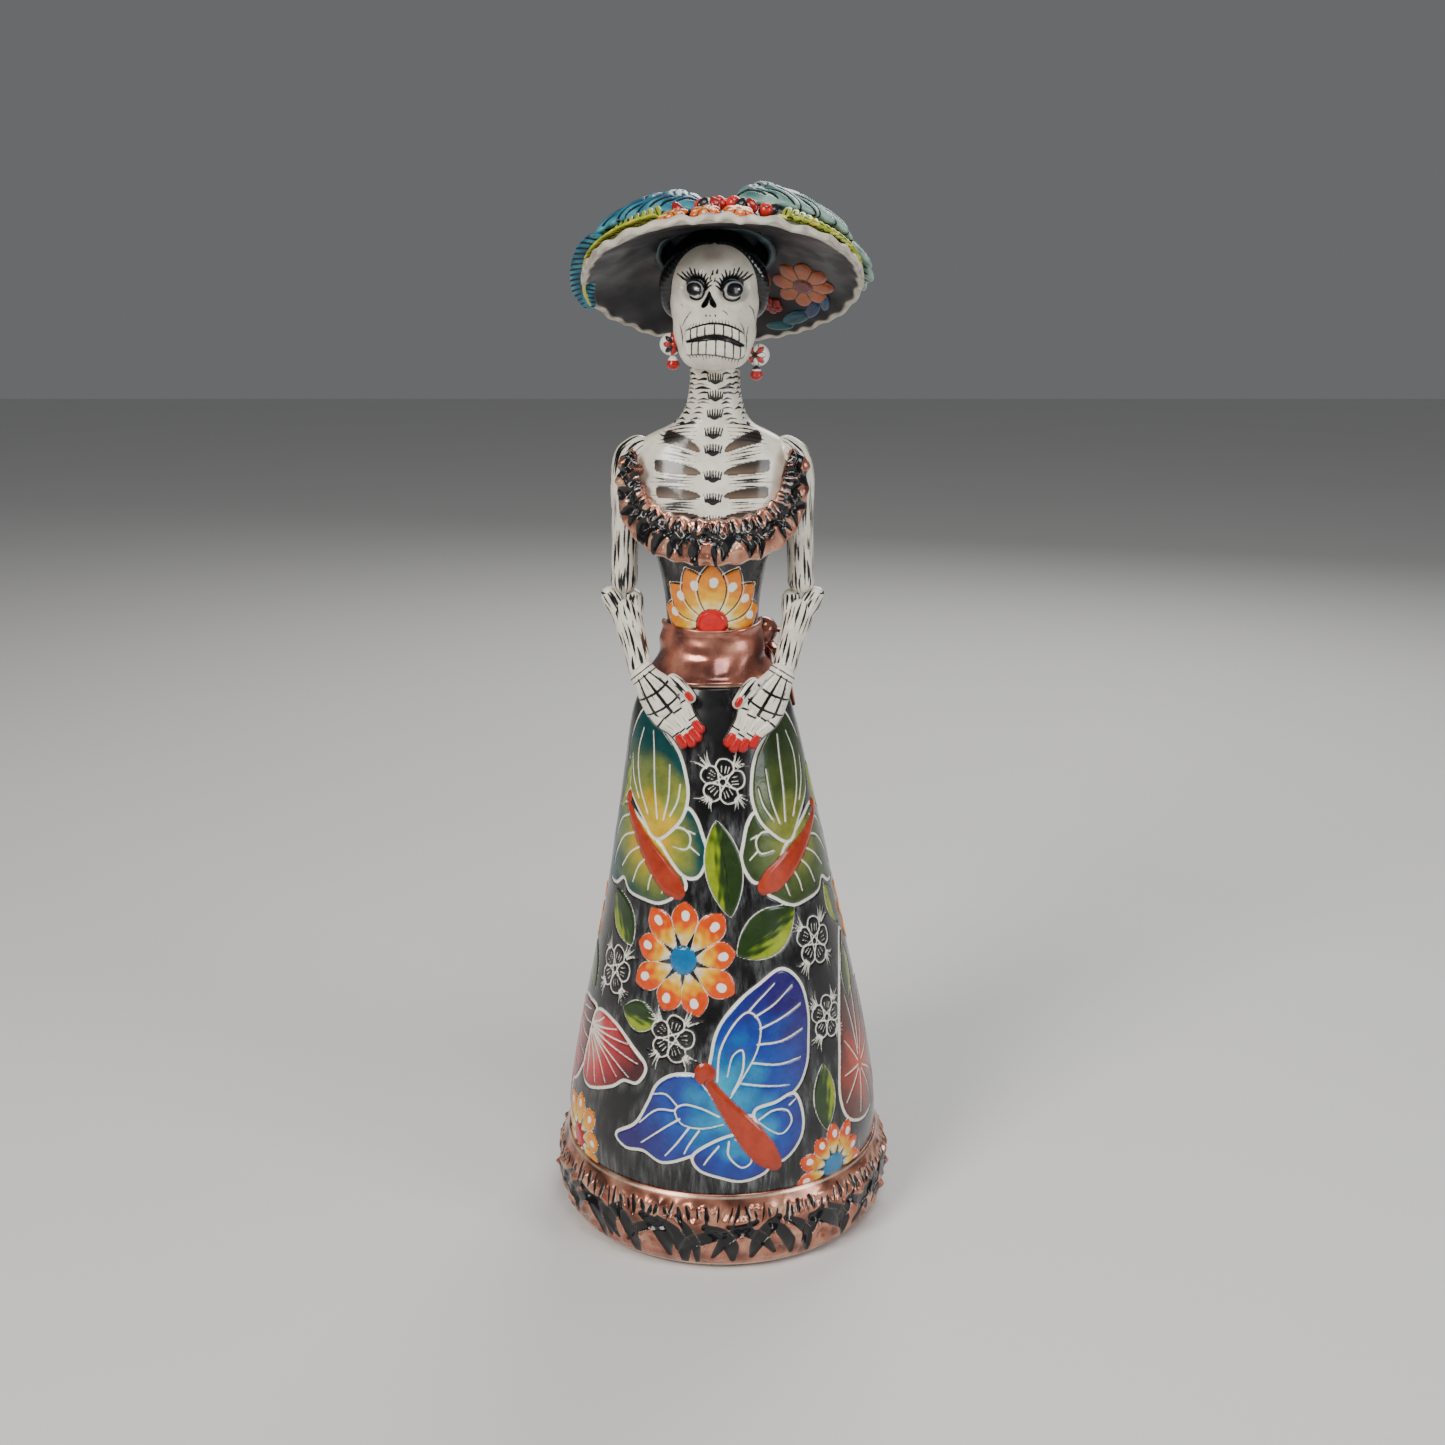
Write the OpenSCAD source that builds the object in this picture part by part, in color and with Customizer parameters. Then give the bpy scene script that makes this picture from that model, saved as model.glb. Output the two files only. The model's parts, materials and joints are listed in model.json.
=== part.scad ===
// Catrina figure in glazed clay: a hollow bell skirt carries a hollow bodice, a ribbed chest,
// bone arms with hands that rest on the skirt, and a skull. A wide feathered hat lifts off the head.
// +Z is up, the figure faces -Y, and the origin is the middle of the foot that it stands on.
// Left and right are the figure's own, so its left is +X.

/* [Skirt] */
// Outer radius of the foot rim
foot_r = 64; // [60:1:66]
// Wall thickness of the hollow skirt
wall = 5; // [3.5:0.5:6]
// How far the skirt's top leans to the figure's right
lean = 4; // [0:1:5]
// Thickness of the hem ruffle at its fullest
hem_bulge = 7; // [5:0.5:8]

/* [Bust] */
// Half width of the waist
waist_w = 18.5; // [17:0.5:19]
// Half depth of the waist
waist_d = 15; // [13:0.5:16]
// Thickness of the sash
sash_t = 1.5; // [1.2:0.1:1.8]
// Half width of the shoulders
shoulder_w = 32; // [30:0.5:33]

/* [Arms] */
// Radius of an upper arm
arm_r = 6; // [5:0.25:6.5]
// Half thickness of a hand
hand_t = 3.6; // [3:0.2:4]
// Length of a hand from the wrist to the fingertips
hand_len = 33; // [30:0.5:35]

/* [Hat] */
// Outer radius of the brim
brim_r = 54; // [52:1:56]
// Thickness of the brim
brim_t = 3; // [2.5:0.25:3.5]
// Backward tilt of the hat, in degrees
hat_tilt = 24; // [20:1:26]
// Clearance between the crown and the hair that it drops over
crown_fit = 0.5; // [0.4:0.1:1]

/* [Hidden] */

gap = 0.15;              // glaze line between pieces that are luted together
skull_gap = 0.2;          // clearance round the skull
body_x = -lean;          // the bust stands over the skirt's leaning top
skirt_top = 233;
vent_r = 3.2;
hem_top = 34;
hem_lift = 1.2;           // the hem clears the floor, so the figure stands on its foot
lean_angle = atan(lean / skirt_top);
waist_z = 255;
neck_z = 334;
shoulder_z = 324;         // height where the ruffle turns over the shoulders
head_x = body_x + 1;
head_c = [head_x, -2, 388];   // middle of the cranium
cranium_r = 18;
cranium_d = 2.5;              // half of what the cranium's depth has over its width
hair_t = 2;
hat_c = [0, 0, 385.4];        // middle of the brim's rim
crown_shift = [head_x, -3, 0];   // the crown sits over the head, beside the rim's middle
brim_slope = 0.42;            // the brim rises towards the crown like a parasol
crown_foot = 9;               // height of the crown's foot over the rim
crown_h = 18.5;
crown_r = cranium_r + hair_t + crown_fit;
ornament_t = 1.2;             // thickness of the flat ornaments under the brim
ornament_drop = 0.9;          // a flat ornament meets the hollow cone of the brim at its sides

// Skirt's outer outline from the hem to the waist, as [radius, height]
skirt_line = [[66.5, hem_top], [66, 50], [60.3, 83], [51.2, 125], [47.8, 143], [39.2, 186],
              [33.8, 216], [29.5, 227], [26.5, skirt_top]];

// Rings of the bodice from the hips to the bust, as [height, half width, half depth, middle's y]
bodice_line = [[skirt_top + gap, 24.2, 24.2, 0], [239, 21, 20, 0], [waist_z - 6, 19, 16, 0],
               [waist_z, waist_w, waist_d, 0], [268, 19.7, 16, 0], [281, 22.7, 18.5, -1],
               [292, 28, 20.5, -1.5], [298, 30.5, 20.5, -1.5]];

// Rings of the chest from the bust to the foot of the neck
chest_line = [[298 + gap, 30.5, 20.5, -1.5], [307, 31.5, 19, -0.5],
              [316, shoulder_w, 17, 0], [324, 31, 15, 1], [329.5, 27, 13, 1.5],
              [332.5, 18, 11.5, 2], [neck_z, 14.5, 11, 2]];
neck_line = [[neck_z + gap, 14.5, 11, 2], [338, 12.3, 10.5, 1.5], [344, 10.6, 10, 1],
             [353, 9.7, 9.7, 0.5], [361, 9.6, 9.6, 0.5]];

function ring(r, sides, grow) =
  [for (i = [0:sides - 1]) let (a = 360 * i / sides)
     [(r[1] + grow) * cos(a), r[3] + (r[2] + grow) * sin(a), r[0]]];

// Triangles of the wall between the rings of a stack
function wall_faces(rows, sides) =
  [for (k = [0:rows - 2]) for (i = [0:sides - 1])
     let (a = k * sides + i, b = k * sides + (i + 1) % sides)
       each [[a, a + sides, b], [b, a + sides, b + sides]]];

// A closed solid through a list of level oval rings
module loft(rings, grow = 0, sides = 32) {
  n = len(rings);
  points = [for (r = rings) each ring(r, sides, grow)];
  foot = [for (i = [1:sides - 2]) [0, i, i + 1]];
  head = [for (i = [1:sides - 2]) [(n - 1) * sides, (n - 1) * sides + i + 1, (n - 1) * sides + i]];
  translate([body_x, 0, 0]) polyhedron(points, concat(wall_faces(n, sides), foot, head));
}

// A rounded rod between two points, each given with its own radius
module bone(a, ra, b, rb, grow = 0, fn = 20) {
  hull() {
    translate(a) sphere(ra + grow, $fn = fn);
    translate(b) sphere(rb + grow, $fn = fn);
  }
}

// Everything placed in the hat's own tilted frame
module in_hat() {
  translate(hat_c) rotate([-hat_tilt, 0, 0]) children();
}

module leaning() {
  rotate([0, -lean_angle, 0]) children();
}

// ---- skirt ----

// Solid bell of the skirt's outside, from below the floor to above the waist
module skirt_bell(grow = 0) {
  outline = concat([[0, -3], [foot_r + grow, -3]], [for (p = skirt_line) p + [grow, 0]],
                   [[skirt_line[len(skirt_line) - 1][0] + grow, skirt_top + 3], [0, skirt_top + 3]]);
  leaning() rotate_extrude($fn = 96) polygon(outline);
}

module skirt_shell() {
  inner = [for (p = skirt_line) [p[0] - wall, p[1] - 3]];
  color("dimgray") intersection() {
    difference() {
      skirt_bell();
      leaning() rotate_extrude($fn = 96)
        polygon(concat([[0, -4], [foot_r - wall - 2, -4], [foot_r - wall - 1.5, 0]], inner,
                       [[12, skirt_top - 3], [12, skirt_top + 4], [0, skirt_top + 4]]));
    }
    translate([-100, -100, 0]) cube([200, 200, skirt_top]);
  }
}

module hem_ruffle() {
  line_r = skirt_line[0][0];
  color("rosybrown") difference() {
    rotate_extrude($fn = 96)
      polygon([[foot_r - 5, hem_lift], [foot_r + 1.5, hem_lift], [foot_r + 6, hem_lift + 4],
               [line_r + hem_bulge - 0.5, 16], [line_r + hem_bulge - 1, 24],
               [line_r + 3, hem_top - 1], [line_r + 1.5, hem_top + 1], [foot_r - 5, hem_top + 1]]);
    skirt_bell(gap);
  }
}

// ---- bust ----

module bodice_shell() {
  cavity = [for (k = [1:len(bodice_line) - 2]) let (r = bodice_line[k])
              [r[0], r[1] - wall, r[2] - wall, r[3]]];
  color("dimgray") difference() {
    loft(bodice_line);
    loft(cavity);
    // vent that lets the firing's steam into the open skirt
    translate([body_x, 0, skirt_top - 1]) cylinder(h = 12, r = vent_r, $fn = 32);
  }
}

sash_line = [[skirt_top + gap, 26.4, 26.3, 0], [236.5, 23.2 + sash_t, 22.4 + sash_t, 0],
             [240.5, 21 + sash_t, 19.8 + sash_t, 0], [waist_z - 6, 19.2 + sash_t, 16.2 + sash_t, 0],
             [waist_z, waist_w + sash_t, waist_d + sash_t, 0]];

// The sash hugs the hips from the waist down to the skirt
module sash_band() {
  color("indianred") difference() {
    loft(sash_line);
    loft(bodice_line, gap);
    hand(1, gap);
    hand(-1, gap);
  }
}

knot_at = [body_x + 18.5, 16, 248];
bow_turn = -40;          // bearing of the bow along the waist

module sash_knot() {
  color("indianred") difference() {
    translate(knot_at + [1.4, 1, 0]) sphere(4.6, $fn = 20);
    loft(sash_line, gap);
  }
}

// Each loop of the bow is a flattened ring of clay beside the knot
module bow_loop(side) {
  translate(knot_at + [2.4, 2.4, 0.6]) rotate([0, 0, bow_turn]) translate([side * 11.4, 0, 1.5])
    rotate([90, side * 18, 0]) difference() {
      scale([1, 0.75, 1]) cylinder(h = 4.4, r = 6.8, center = true, $fn = 28);
      scale([1, 0.62, 1]) cylinder(h = 6, r = 4, center = true, $fn = 28);
    }
}

module sash_bow_loops() {
  color("indianred") for (side = [-1, 1]) difference() {
    bow_loop(side);
    loft(concat(sash_line, [[waist_z + 8, waist_w + sash_t, waist_d + sash_t, 0]]), gap);
  }
}

module sash_tails() {
  color("indianred") for (side = [-1, 1]) difference() {
    hull() {
      translate(knot_at + [5.5 + side, 6 - side, -7.5]) sphere(1.8, $fn = 14);
      translate([body_x + 24 + 5.5 * side, 27 - 4.5 * side, 215]) sphere(2, $fn = 14);
      translate([body_x + 28 + 7 * side, 24.5 - 6.5 * side, 214]) sphere(2, $fn = 14);
    }
    leaning() rotate_extrude($fn = 64)
      polygon([[0, 200], [36.9 + gap, 200], [33.8 + gap, 216], [29.8 + gap, 228], [0, 228]]);
    loft(sash_line, gap);
  }
}

module ribcage() {
  color("cornsilk") difference() {
    loft(chest_line);
    upper_arm(1, gap);
    upper_arm(-1, gap);
  }
}

module neck() {
  color("cornsilk") difference() {
    loft(neck_line);
    skull_form(skull_gap);
  }
}

// Outline of a ruffle seen from the front: the space between two half ovals that hang from
// the shoulders
module ruffle_outline(outer_drop, inner_drop) {
  half = function (w, drop) [for (a = [180:7.5:360]) [w * cos(a), drop * sin(a)]];
  difference() {
    polygon(half(37, outer_drop));
    polygon(concat([[26.5, 20], [-26.5, 20]], half(26.5, inner_drop)));
  }
}

// The ruffle lies on the bust in a deep U, goes round below both shoulders and is shallow behind
module neckline_ruffle() {
  bust = concat([for (k = [4:6]) bodice_line[k]], [for (k = [1:4]) chest_line[k]]);
  color("rosybrown") difference() {
    intersection() {
      loft(bust, 4.4);
      translate([body_x, 0, shoulder_z]) {
        rotate([90, 0, 0]) linear_extrude(50) ruffle_outline(39.5, 22.5);
        rotate([90, 0, 180]) linear_extrude(50) ruffle_outline(26, 10);
      }
    }
    loft(bodice_line, gap);
    loft(chest_line, gap);
    upper_arm(1, gap);
    upper_arm(-1, gap);
  }
}

// ---- arms, where side is 1 on the figure's left and -1 on its right ----

function shoulder_at(side) = [body_x + side * 34, 1, 319];
function elbow_at(side) = [body_x + side * 36.5, 1.5, 264];
function wrist_at(side) = [body_x + side * 28, -27.5, 240];

module upper_arm(side, grow = 0) {
  bone(shoulder_at(side), arm_r, elbow_at(side) + [0, 0, 7], arm_r - 0.6, grow);
}

module upper_arm_right() {
  color("cornsilk") difference() {
    upper_arm(-1);
    forearm(-1, gap);
  }
}

module upper_arm_left() {
  color("cornsilk") difference() {
    upper_arm(1);
    forearm(1, gap);
  }
}

// The forearm's top flares into two condyles that clasp the upper arm
module forearm(side, grow = 0) {
  elbow = elbow_at(side);
  middle = elbow + [-side * 3, -9, -9];
  hull() {
    translate(elbow + [side * 3.4, 1, 0.5]) sphere(4.8 + grow, $fn = 18);
    translate(elbow + [-side * 3.6, 0, 0]) sphere(4.6 + grow, $fn = 18);
    translate(middle) sphere(5.6 + grow, $fn = 18);
  }
  bone(middle, 5.6, wrist_at(side), 4.9, grow, 18);
}

module forearm_right() {
  color("cornsilk") difference() {
    forearm(-1);
    hand(-1, gap);
  }
}

module forearm_left() {
  color("cornsilk") difference() {
    forearm(1);
    hand(1, gap);
  }
}

// In a hand's own frame the fingers point to -Z, the back of the hand faces -Y,
// and the thumb is on the side that faces the other hand
module in_hand(side) {
  translate(wrist_at(side)) rotate([-15, 0, 0])
    rotate([0, side > 0 ? 23 : -33, 0]) mirror([side > 0 ? 1 : 0, 0, 0]) children();
}

// A spatulate hand: narrow at the wrist, broad over the knuckles and rounded at the fingertips
module hand(side, grow = 0) {
  in_hand(side) hull() {
    translate([0, -1.5, -2]) sphere(hand_t + 0.8 + grow, $fn = 18);
    for (k = [-1, 1]) {
      translate([k * 5.8, -1, -hand_len / 2]) sphere(hand_t + 0.2 + grow, $fn = 18);
      translate([k * 5, 0, 3.2 - hand_len]) sphere(hand_t - 0.4 + grow, $fn = 18);
    }
  }
}

module hand_piece(side) {
  color("cornsilk") difference() {
    hand(side);
    thumb(side, gap);
    skirt_bell(gap);
  }
}

module hand_right() { hand_piece(-1); }

module hand_left() { hand_piece(1); }

module thumb(side, grow = 0) {
  in_hand(side) hull() {
    translate([7.6, -2.6, -10]) sphere(2.3 + grow, $fn = 16);
    translate([8.6, -2.6, 10 - hand_len]) sphere(2.1 + grow, $fn = 16);
  }
}

module thumb_right() { color("cornsilk") thumb(-1); }

module thumb_left() { color("cornsilk") thumb(1); }

// ---- head ----

// A ball that is stretched from front to back
module oval_ball(r) {
  for (y = [-cranium_d, cranium_d]) translate([0, y, 0]) sphere(r, $fn = 36);
  rotate([90, 0, 0]) cylinder(h = 2 * cranium_d, r = r, center = true, $fn = 36);
}

module skull_form(grow = 0) {
  translate(head_c) oval_ball(cranium_r + grow);
  hull() {
    translate(head_c + [0, -5.5, -3]) sphere(16.2 + grow, $fn = 28);
    translate([head_x, -10, 369.5]) sphere(13.4 + grow, $fn = 24);
    for (side = [-1, 1]) translate([head_x + side * 5.6, -11.5, 361]) sphere(6.5 + grow, $fn = 18);
  }
}

module skull() {
  color("ivory") difference() {
    skull_form();
    for (side = [-1, 1])
      translate([head_x + side * 8.4, -26, 384.5]) sphere(4.6, $fn = 20);
    translate([head_x, -25, 377.5]) cylinder(h = 4.5, r1 = 2.6, r2 = 0.8, $fn = 16);
  }
}

// Hair lies over the cranium and down past the cheeks, open at the face
module hair() {
  color("black") difference() {
    translate(head_c) oval_ball(cranium_r + hair_t);
    skull_form(skull_gap);
    translate(head_c + [0, -32, -5]) rotate([14, 0, 0]) cube([60, 40, 44], center = true);
    translate(head_c + [0, 0, -32]) cube([60, 60, 40], center = true);
  }
}

function earring_at(side) = [head_x + side * 16.9, -7, side > 0 ? 360.5 : 364.5];

module earring_flower(side) {
  color("whitesmoke") translate(earring_at(side)) sphere(4.2, $fn = 20);
}

module earring_flower_right() { earring_flower(-1); }

module earring_flower_left() { earring_flower(1); }

module earring_drop(side) {
  color("firebrick") translate(earring_at(side) - [side * 0.8, 0.6, 7.1]) sphere(2.6, $fn = 18);
}

module earring_drop_right() { earring_drop(-1); }

module earring_drop_left() { earring_drop(1); }

// ---- hat, in its own frame: the rim lies at height 0 and the crown rises over the middle ----

function brim_top(r) = brim_t + (brim_r - r) * brim_slope;

// The crown's oval follows the head's: half a turn of the outline at each end and a straight between
module oval_turn(outline, half_length = cranium_d) {
  for (y = [-half_length, half_length])
    translate([0, y, 0]) rotate_extrude($fn = 72) polygon(outline);
  for (side = [0, 1]) mirror([side, 0, 0])
    translate([0, half_length, 0]) rotate([90, 0, 0]) linear_extrude(2 * half_length)
      polygon(outline);
}

module crown_inside() {
  top = crown_foot + crown_h - 3;
  translate(crown_shift)
    oval_turn([[0, -5], [crown_r, -5], [crown_r, crown_foot + 9], [crown_r - 4, crown_foot + 14.5],
               [crown_r - 10, top], [0, top]]);
}

module under_brim_top() {
  near = crown_r - 2;
  far = brim_r + 20;
  rotate_extrude($fn = 96)
    polygon([[0, -20], [far, -20], [far, brim_top(far) + gap], [near, brim_top(near) + gap],
             [0, brim_top(near) + gap]]);
}

module hat_brim() {
  color("darkslategray") in_hat() difference() {
    rotate_extrude($fn = 96)
      polygon([[15, brim_top(15) - brim_t], [brim_r - 3, 0.8], [brim_r, 0.6],
               [brim_r, brim_t - 0.4], [brim_r - 2, brim_top(brim_r - 2)], [15, brim_top(15)]]);
    crown_inside();
  }
}

module crown_outside(grow = 0) {
  r = crown_r + grow;
  top = crown_foot + crown_h + grow;
  translate(crown_shift)
    oval_turn([[0, 0], [r + 3, 0], [r + 3, crown_foot + 9], [r - 2, crown_foot + 16],
               [r - 9, top], [0, top]]);
}

module hat_crown() {
  color("dimgray") in_hat() difference() {
    crown_outside();
    crown_inside();
    under_brim_top();
  }
}

// A feather is a chain of flattened lobes that leans on the crown and sweeps over the brim
// between two bearings, from one height over the brim to another
module feather(from, to, r0, r1, h0, h1, wide) {
  lobes = 6;
  for (i = [0:lobes - 1])
    hull() for (t = [i / lobes, (i + 1) / lobes])
      let (a = from + (to - from) * t, r = r0 + (r1 - r0) * t, h = h0 + (h1 - h0) * t)
        rotate([0, 0, a]) translate([r, 0, brim_top(r) + h + 4 * sin(180 * t)]) rotate([0, 38, 0])
          scale([1, 1, 0.34]) sphere(wide * (1 - 0.3 * t), $fn = 14);
}

module feather_node(from, to, r0, r1, h0, h1, wide) {
  color("cadetblue") in_hat() difference() {
    feather(from, to, r0, r1, h0, h1, wide);
    crown_outside(gap);
    under_brim_top();
  }
}

module feather_front_right() { feather_node(-124, -164, 32, 44, 6, 13, 13); }

module feather_front_left() { feather_node(-56, -16, 32, 44, 9, 9, 14); }

module feather_side_right() { feather_node(-195, -222, 44, 44, 6, 5, 11); }

module feather_side_left() { feather_node(14, 44, 44, 44, 6, 5, 11); }

module feather_back_right() { feather_node(112, 102, 42, 42, 5, 5, 8); }

module feather_back_left() { feather_node(68, 78, 42, 42, 5, 5, 8); }

// Flowers, buds and leaves stand near the brim's edge, at an inset from it
module on_brim(angle, inset, tip_over = 22) {
  r = brim_r - inset;
  rotate([0, 0, angle]) translate([r, 0, brim_top(r) + gap]) rotate([0, tip_over, 0]) children();
}

module hat_flower(angle) {
  color("orange") in_hat() difference() {
    on_brim(angle, 7, 40) translate([0, 0, 1.5]) {
      cylinder(h = 1.8, r = 2.6, $fn = 24);
      for (i = [0:5]) rotate([0, 0, 60 * i]) translate([3.4, 0, 0])
        cylinder(h = 1.8, r = 2.4, $fn = 24);
    }
    under_brim_top();
  }
}

module hat_flower_middle() { hat_flower(-90); }

module hat_flower_right() { hat_flower(-105.5); }

module hat_flower_left() { hat_flower(-74.5); }

// The buds sit between the front feathers' roots
module rosebuds() {
  color("red") in_hat() for (a = [-97, -90, -83])
    on_brim(a, 15, 0) translate([0, 0, 4.4]) sphere(2.8, $fn = 18);
}

// A sprig is a row of small leaves along the rim
module sprig(from, step) {
  color("yellowgreen") in_hat() for (i = [0:5])
    on_brim(from + step * i, 4.6) rotate([0, 0, 90]) difference() {
      scale([1, 0.5, 0.4]) sphere(3.9, $fn = 16);
      translate([0, 0, -5]) cube([20, 20, 10], center = true);
    }
}

module leaf_sprig_right() { sprig(-124, -9.4); }

module leaf_sprig_left() { sprig(-56, 9.4); }

module yellow_bud() {
  color("goldenrod") in_hat() on_brim(3, 4.6) difference() {
    scale([0.6, 1.3, 0.6]) sphere(3.2, $fn = 18);
    translate([0, 0, -5]) cube([20, 20, 10], center = true);
  }
}

// Flat ornaments under the brim, beside the face
module under_brim(angle, r) {
  rotate([0, 0, angle]) translate([r, 0, (brim_r - r) * brim_slope - ornament_drop])
    rotate([0, atan(brim_slope), 0]) translate([0, 0, -gap - ornament_t]) children();
}

module brim_flower() {
  color("darkorange") in_hat() under_brim(23, 34.5) {
    cylinder(h = ornament_t, r = 4.4, $fn = 24);
    for (i = [0:7]) rotate([0, 0, 45 * i]) translate([7.2, 0, 0])
      cylinder(h = ornament_t, r = 3.6, $fn = 24);
  }
}

module brim_rosette() {
  color("firebrick") in_hat() under_brim(57, 37.5) cylinder(h = ornament_t, r = 4, $fn = 24);
}

module brim_leaf() {
  color("teal") in_hat() under_brim(49, 46.5) rotate([0, 0, 90])
    linear_extrude(ornament_t) intersection() {
      translate([0, 4]) circle(7, $fn = 48);
      translate([0, -4]) circle(7, $fn = 48);
    }
}

skirt_shell();
hem_ruffle();
bodice_shell();
sash_band();
sash_knot();
sash_bow_loops();
sash_tails();
ribcage();
neck();
neckline_ruffle();
upper_arm_right();
upper_arm_left();
forearm_right();
forearm_left();
hand_right();
hand_left();
thumb_right();
thumb_left();
skull();
hair();
earring_flower_right();
earring_flower_left();
earring_drop_right();
earring_drop_left();
hat_brim();
hat_crown();
feather_front_right();
feather_front_left();
feather_side_right();
feather_side_left();
feather_back_right();
feather_back_left();
hat_flower_middle();
hat_flower_right();
hat_flower_left();
rosebuds();
leaf_sprig_right();
leaf_sprig_left();
yellow_bud();
brim_flower();
brim_rosette();
brim_leaf();
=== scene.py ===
"""Looks of the glazed clay catrina: every piece is a grid of points that is carved and painted
by the same few strokes, at its real size in millimetres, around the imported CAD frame."""
import json
import math

import bpy
import numpy as np
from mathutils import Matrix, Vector

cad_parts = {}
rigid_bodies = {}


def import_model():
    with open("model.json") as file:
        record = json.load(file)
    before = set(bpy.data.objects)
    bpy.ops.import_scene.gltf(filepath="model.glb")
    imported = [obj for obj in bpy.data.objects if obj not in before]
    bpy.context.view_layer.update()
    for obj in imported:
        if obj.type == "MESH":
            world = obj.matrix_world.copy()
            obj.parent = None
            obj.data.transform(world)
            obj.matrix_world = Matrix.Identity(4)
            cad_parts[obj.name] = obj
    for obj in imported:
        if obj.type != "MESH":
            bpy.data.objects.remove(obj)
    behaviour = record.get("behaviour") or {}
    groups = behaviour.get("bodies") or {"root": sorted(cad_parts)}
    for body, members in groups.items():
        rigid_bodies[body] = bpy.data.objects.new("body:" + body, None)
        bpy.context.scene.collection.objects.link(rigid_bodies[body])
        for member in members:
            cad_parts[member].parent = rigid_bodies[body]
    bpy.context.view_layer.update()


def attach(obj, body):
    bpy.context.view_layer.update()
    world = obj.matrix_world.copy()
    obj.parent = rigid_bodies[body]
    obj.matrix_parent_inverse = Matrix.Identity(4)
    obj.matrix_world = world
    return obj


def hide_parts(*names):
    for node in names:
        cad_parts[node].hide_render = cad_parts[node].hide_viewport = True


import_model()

MM = 0.001
FAR = 9.0                       # mm: how far a line's field reaches before it stops counting
GROOVE = 0.35                   # mm: depth of a carved line

# Sizes shared with the CAD model, in mm
BODY_X = -4.0                   # the bust stands over the skirt's leaning top
SKIRT_TOP = 233.0
HAT = np.array([0.0, 0.0, 385.4])
HAT_TILT = 24                   # degrees
BRIM_R = 54.0
BRIM_T = 3.0
CROWN = np.array([-3.0, -3.0, 0.0])
CROWN_R = 20.5
CROWN_WALL = 2.9

# Glazes
BLACK = (0.005, 0.005, 0.006)
SLIP = (0.007, 0.007, 0.008)
BONE = (0.86, 0.80, 0.68)
IVORY = (0.88, 0.86, 0.80)
CREAM = (0.90, 0.87, 0.76)
COPPER = (0.52, 0.20, 0.13)
BRICK = (0.40, 0.040, 0.014)
ORANGE = (0.78, 0.075, 0.002)
AMBER = (0.88, 0.27, 0.004)
YELLOW = (0.93, 0.52, 0.012)
RED = (0.50, 0.006, 0.005)
COBALT = (0.015, 0.17, 0.40)
WHITE = (0.92, 0.90, 0.84)


# ---------------------------------------------------------------- curves and fields

def lerp(a, b, t):
    """Mixes two colours by t, which may be one number for each vertex."""
    t = np.asarray(t, float)[..., None]
    return np.asarray(a, float) * (1 - t) + np.asarray(b, float) * t


def step(x, low, high):
    """Smooth rise from 0 at low to 1 at high."""
    t = np.clip((x - low) / (high - low), 0, 1)
    return t * t * (3 - 2 * t)


def ramp(t, *stops):
    """Colour at t along evenly spaced stops."""
    stops = np.asarray(stops, float)
    t = np.clip(t, 0, 0.9999) * (len(stops) - 1)
    k = t.astype(int)
    return stops[k] * (1 - (t - k))[..., None] + stops[k + 1] * (t - k)[..., None]


def curve(points, closed=False, steps=7):
    """Smooth curve through the points, as a fine polyline."""
    p = np.asarray(points, float)
    n = len(p)
    if closed:
        before, after, last = np.roll(p, 1, 0), np.roll(p, -1, 0), n
        beyond = np.roll(p, -2, 0)
    else:
        before = np.vstack([2 * p[0] - p[1], p[:-1]])
        after = np.vstack([p[1:], 2 * p[-1] - p[-2]])
        beyond = np.vstack([after[1:], after[-1:]])
        last = n - 1
    t = (np.arange(steps) / steps)[:, None]
    out = []
    for k in range(last):
        a, b, c, d = before[k], p[k], after[k], beyond[k]
        out.append(0.5 * (2 * b + (c - a) * t + (2 * a - 5 * b + 4 * c - d) * t ** 2
                          + (3 * b - a - 3 * c + d) * t ** 3))
    if not closed:
        out.append(p[-1:])
    return np.vstack(out)


def waves(*coords, size, seed=0, count=7):
    """Soft seeded noise between about -1 and 1, with features of the given size in mm."""
    rng = np.random.default_rng(seed)
    total = np.zeros_like(np.asarray(coords[0], float))
    for _ in range(count):
        direction = rng.normal(size=len(coords))
        direction /= np.linalg.norm(direction)
        k = 2 * math.pi / size * rng.uniform(0.6, 1.6)
        phase = sum(d * c for d, c in zip(direction, coords)) * k + rng.uniform(0, 6.28)
        total += np.sin(phase)
    return total / math.sqrt(count) / 1.2


def around(columns):
    """Angles of the columns of a grid that closes round on itself."""
    return np.linspace(-math.pi, math.pi, columns, endpoint=False)


def spin(x, y, angle):
    """x and y turned from x towards y by an angle in degrees."""
    c, s = math.cos(math.radians(angle)), math.sin(math.radians(angle))
    return x * c - y * s, x * s + y * c


# ---------------------------------------------------------------- painting and carving

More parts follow.
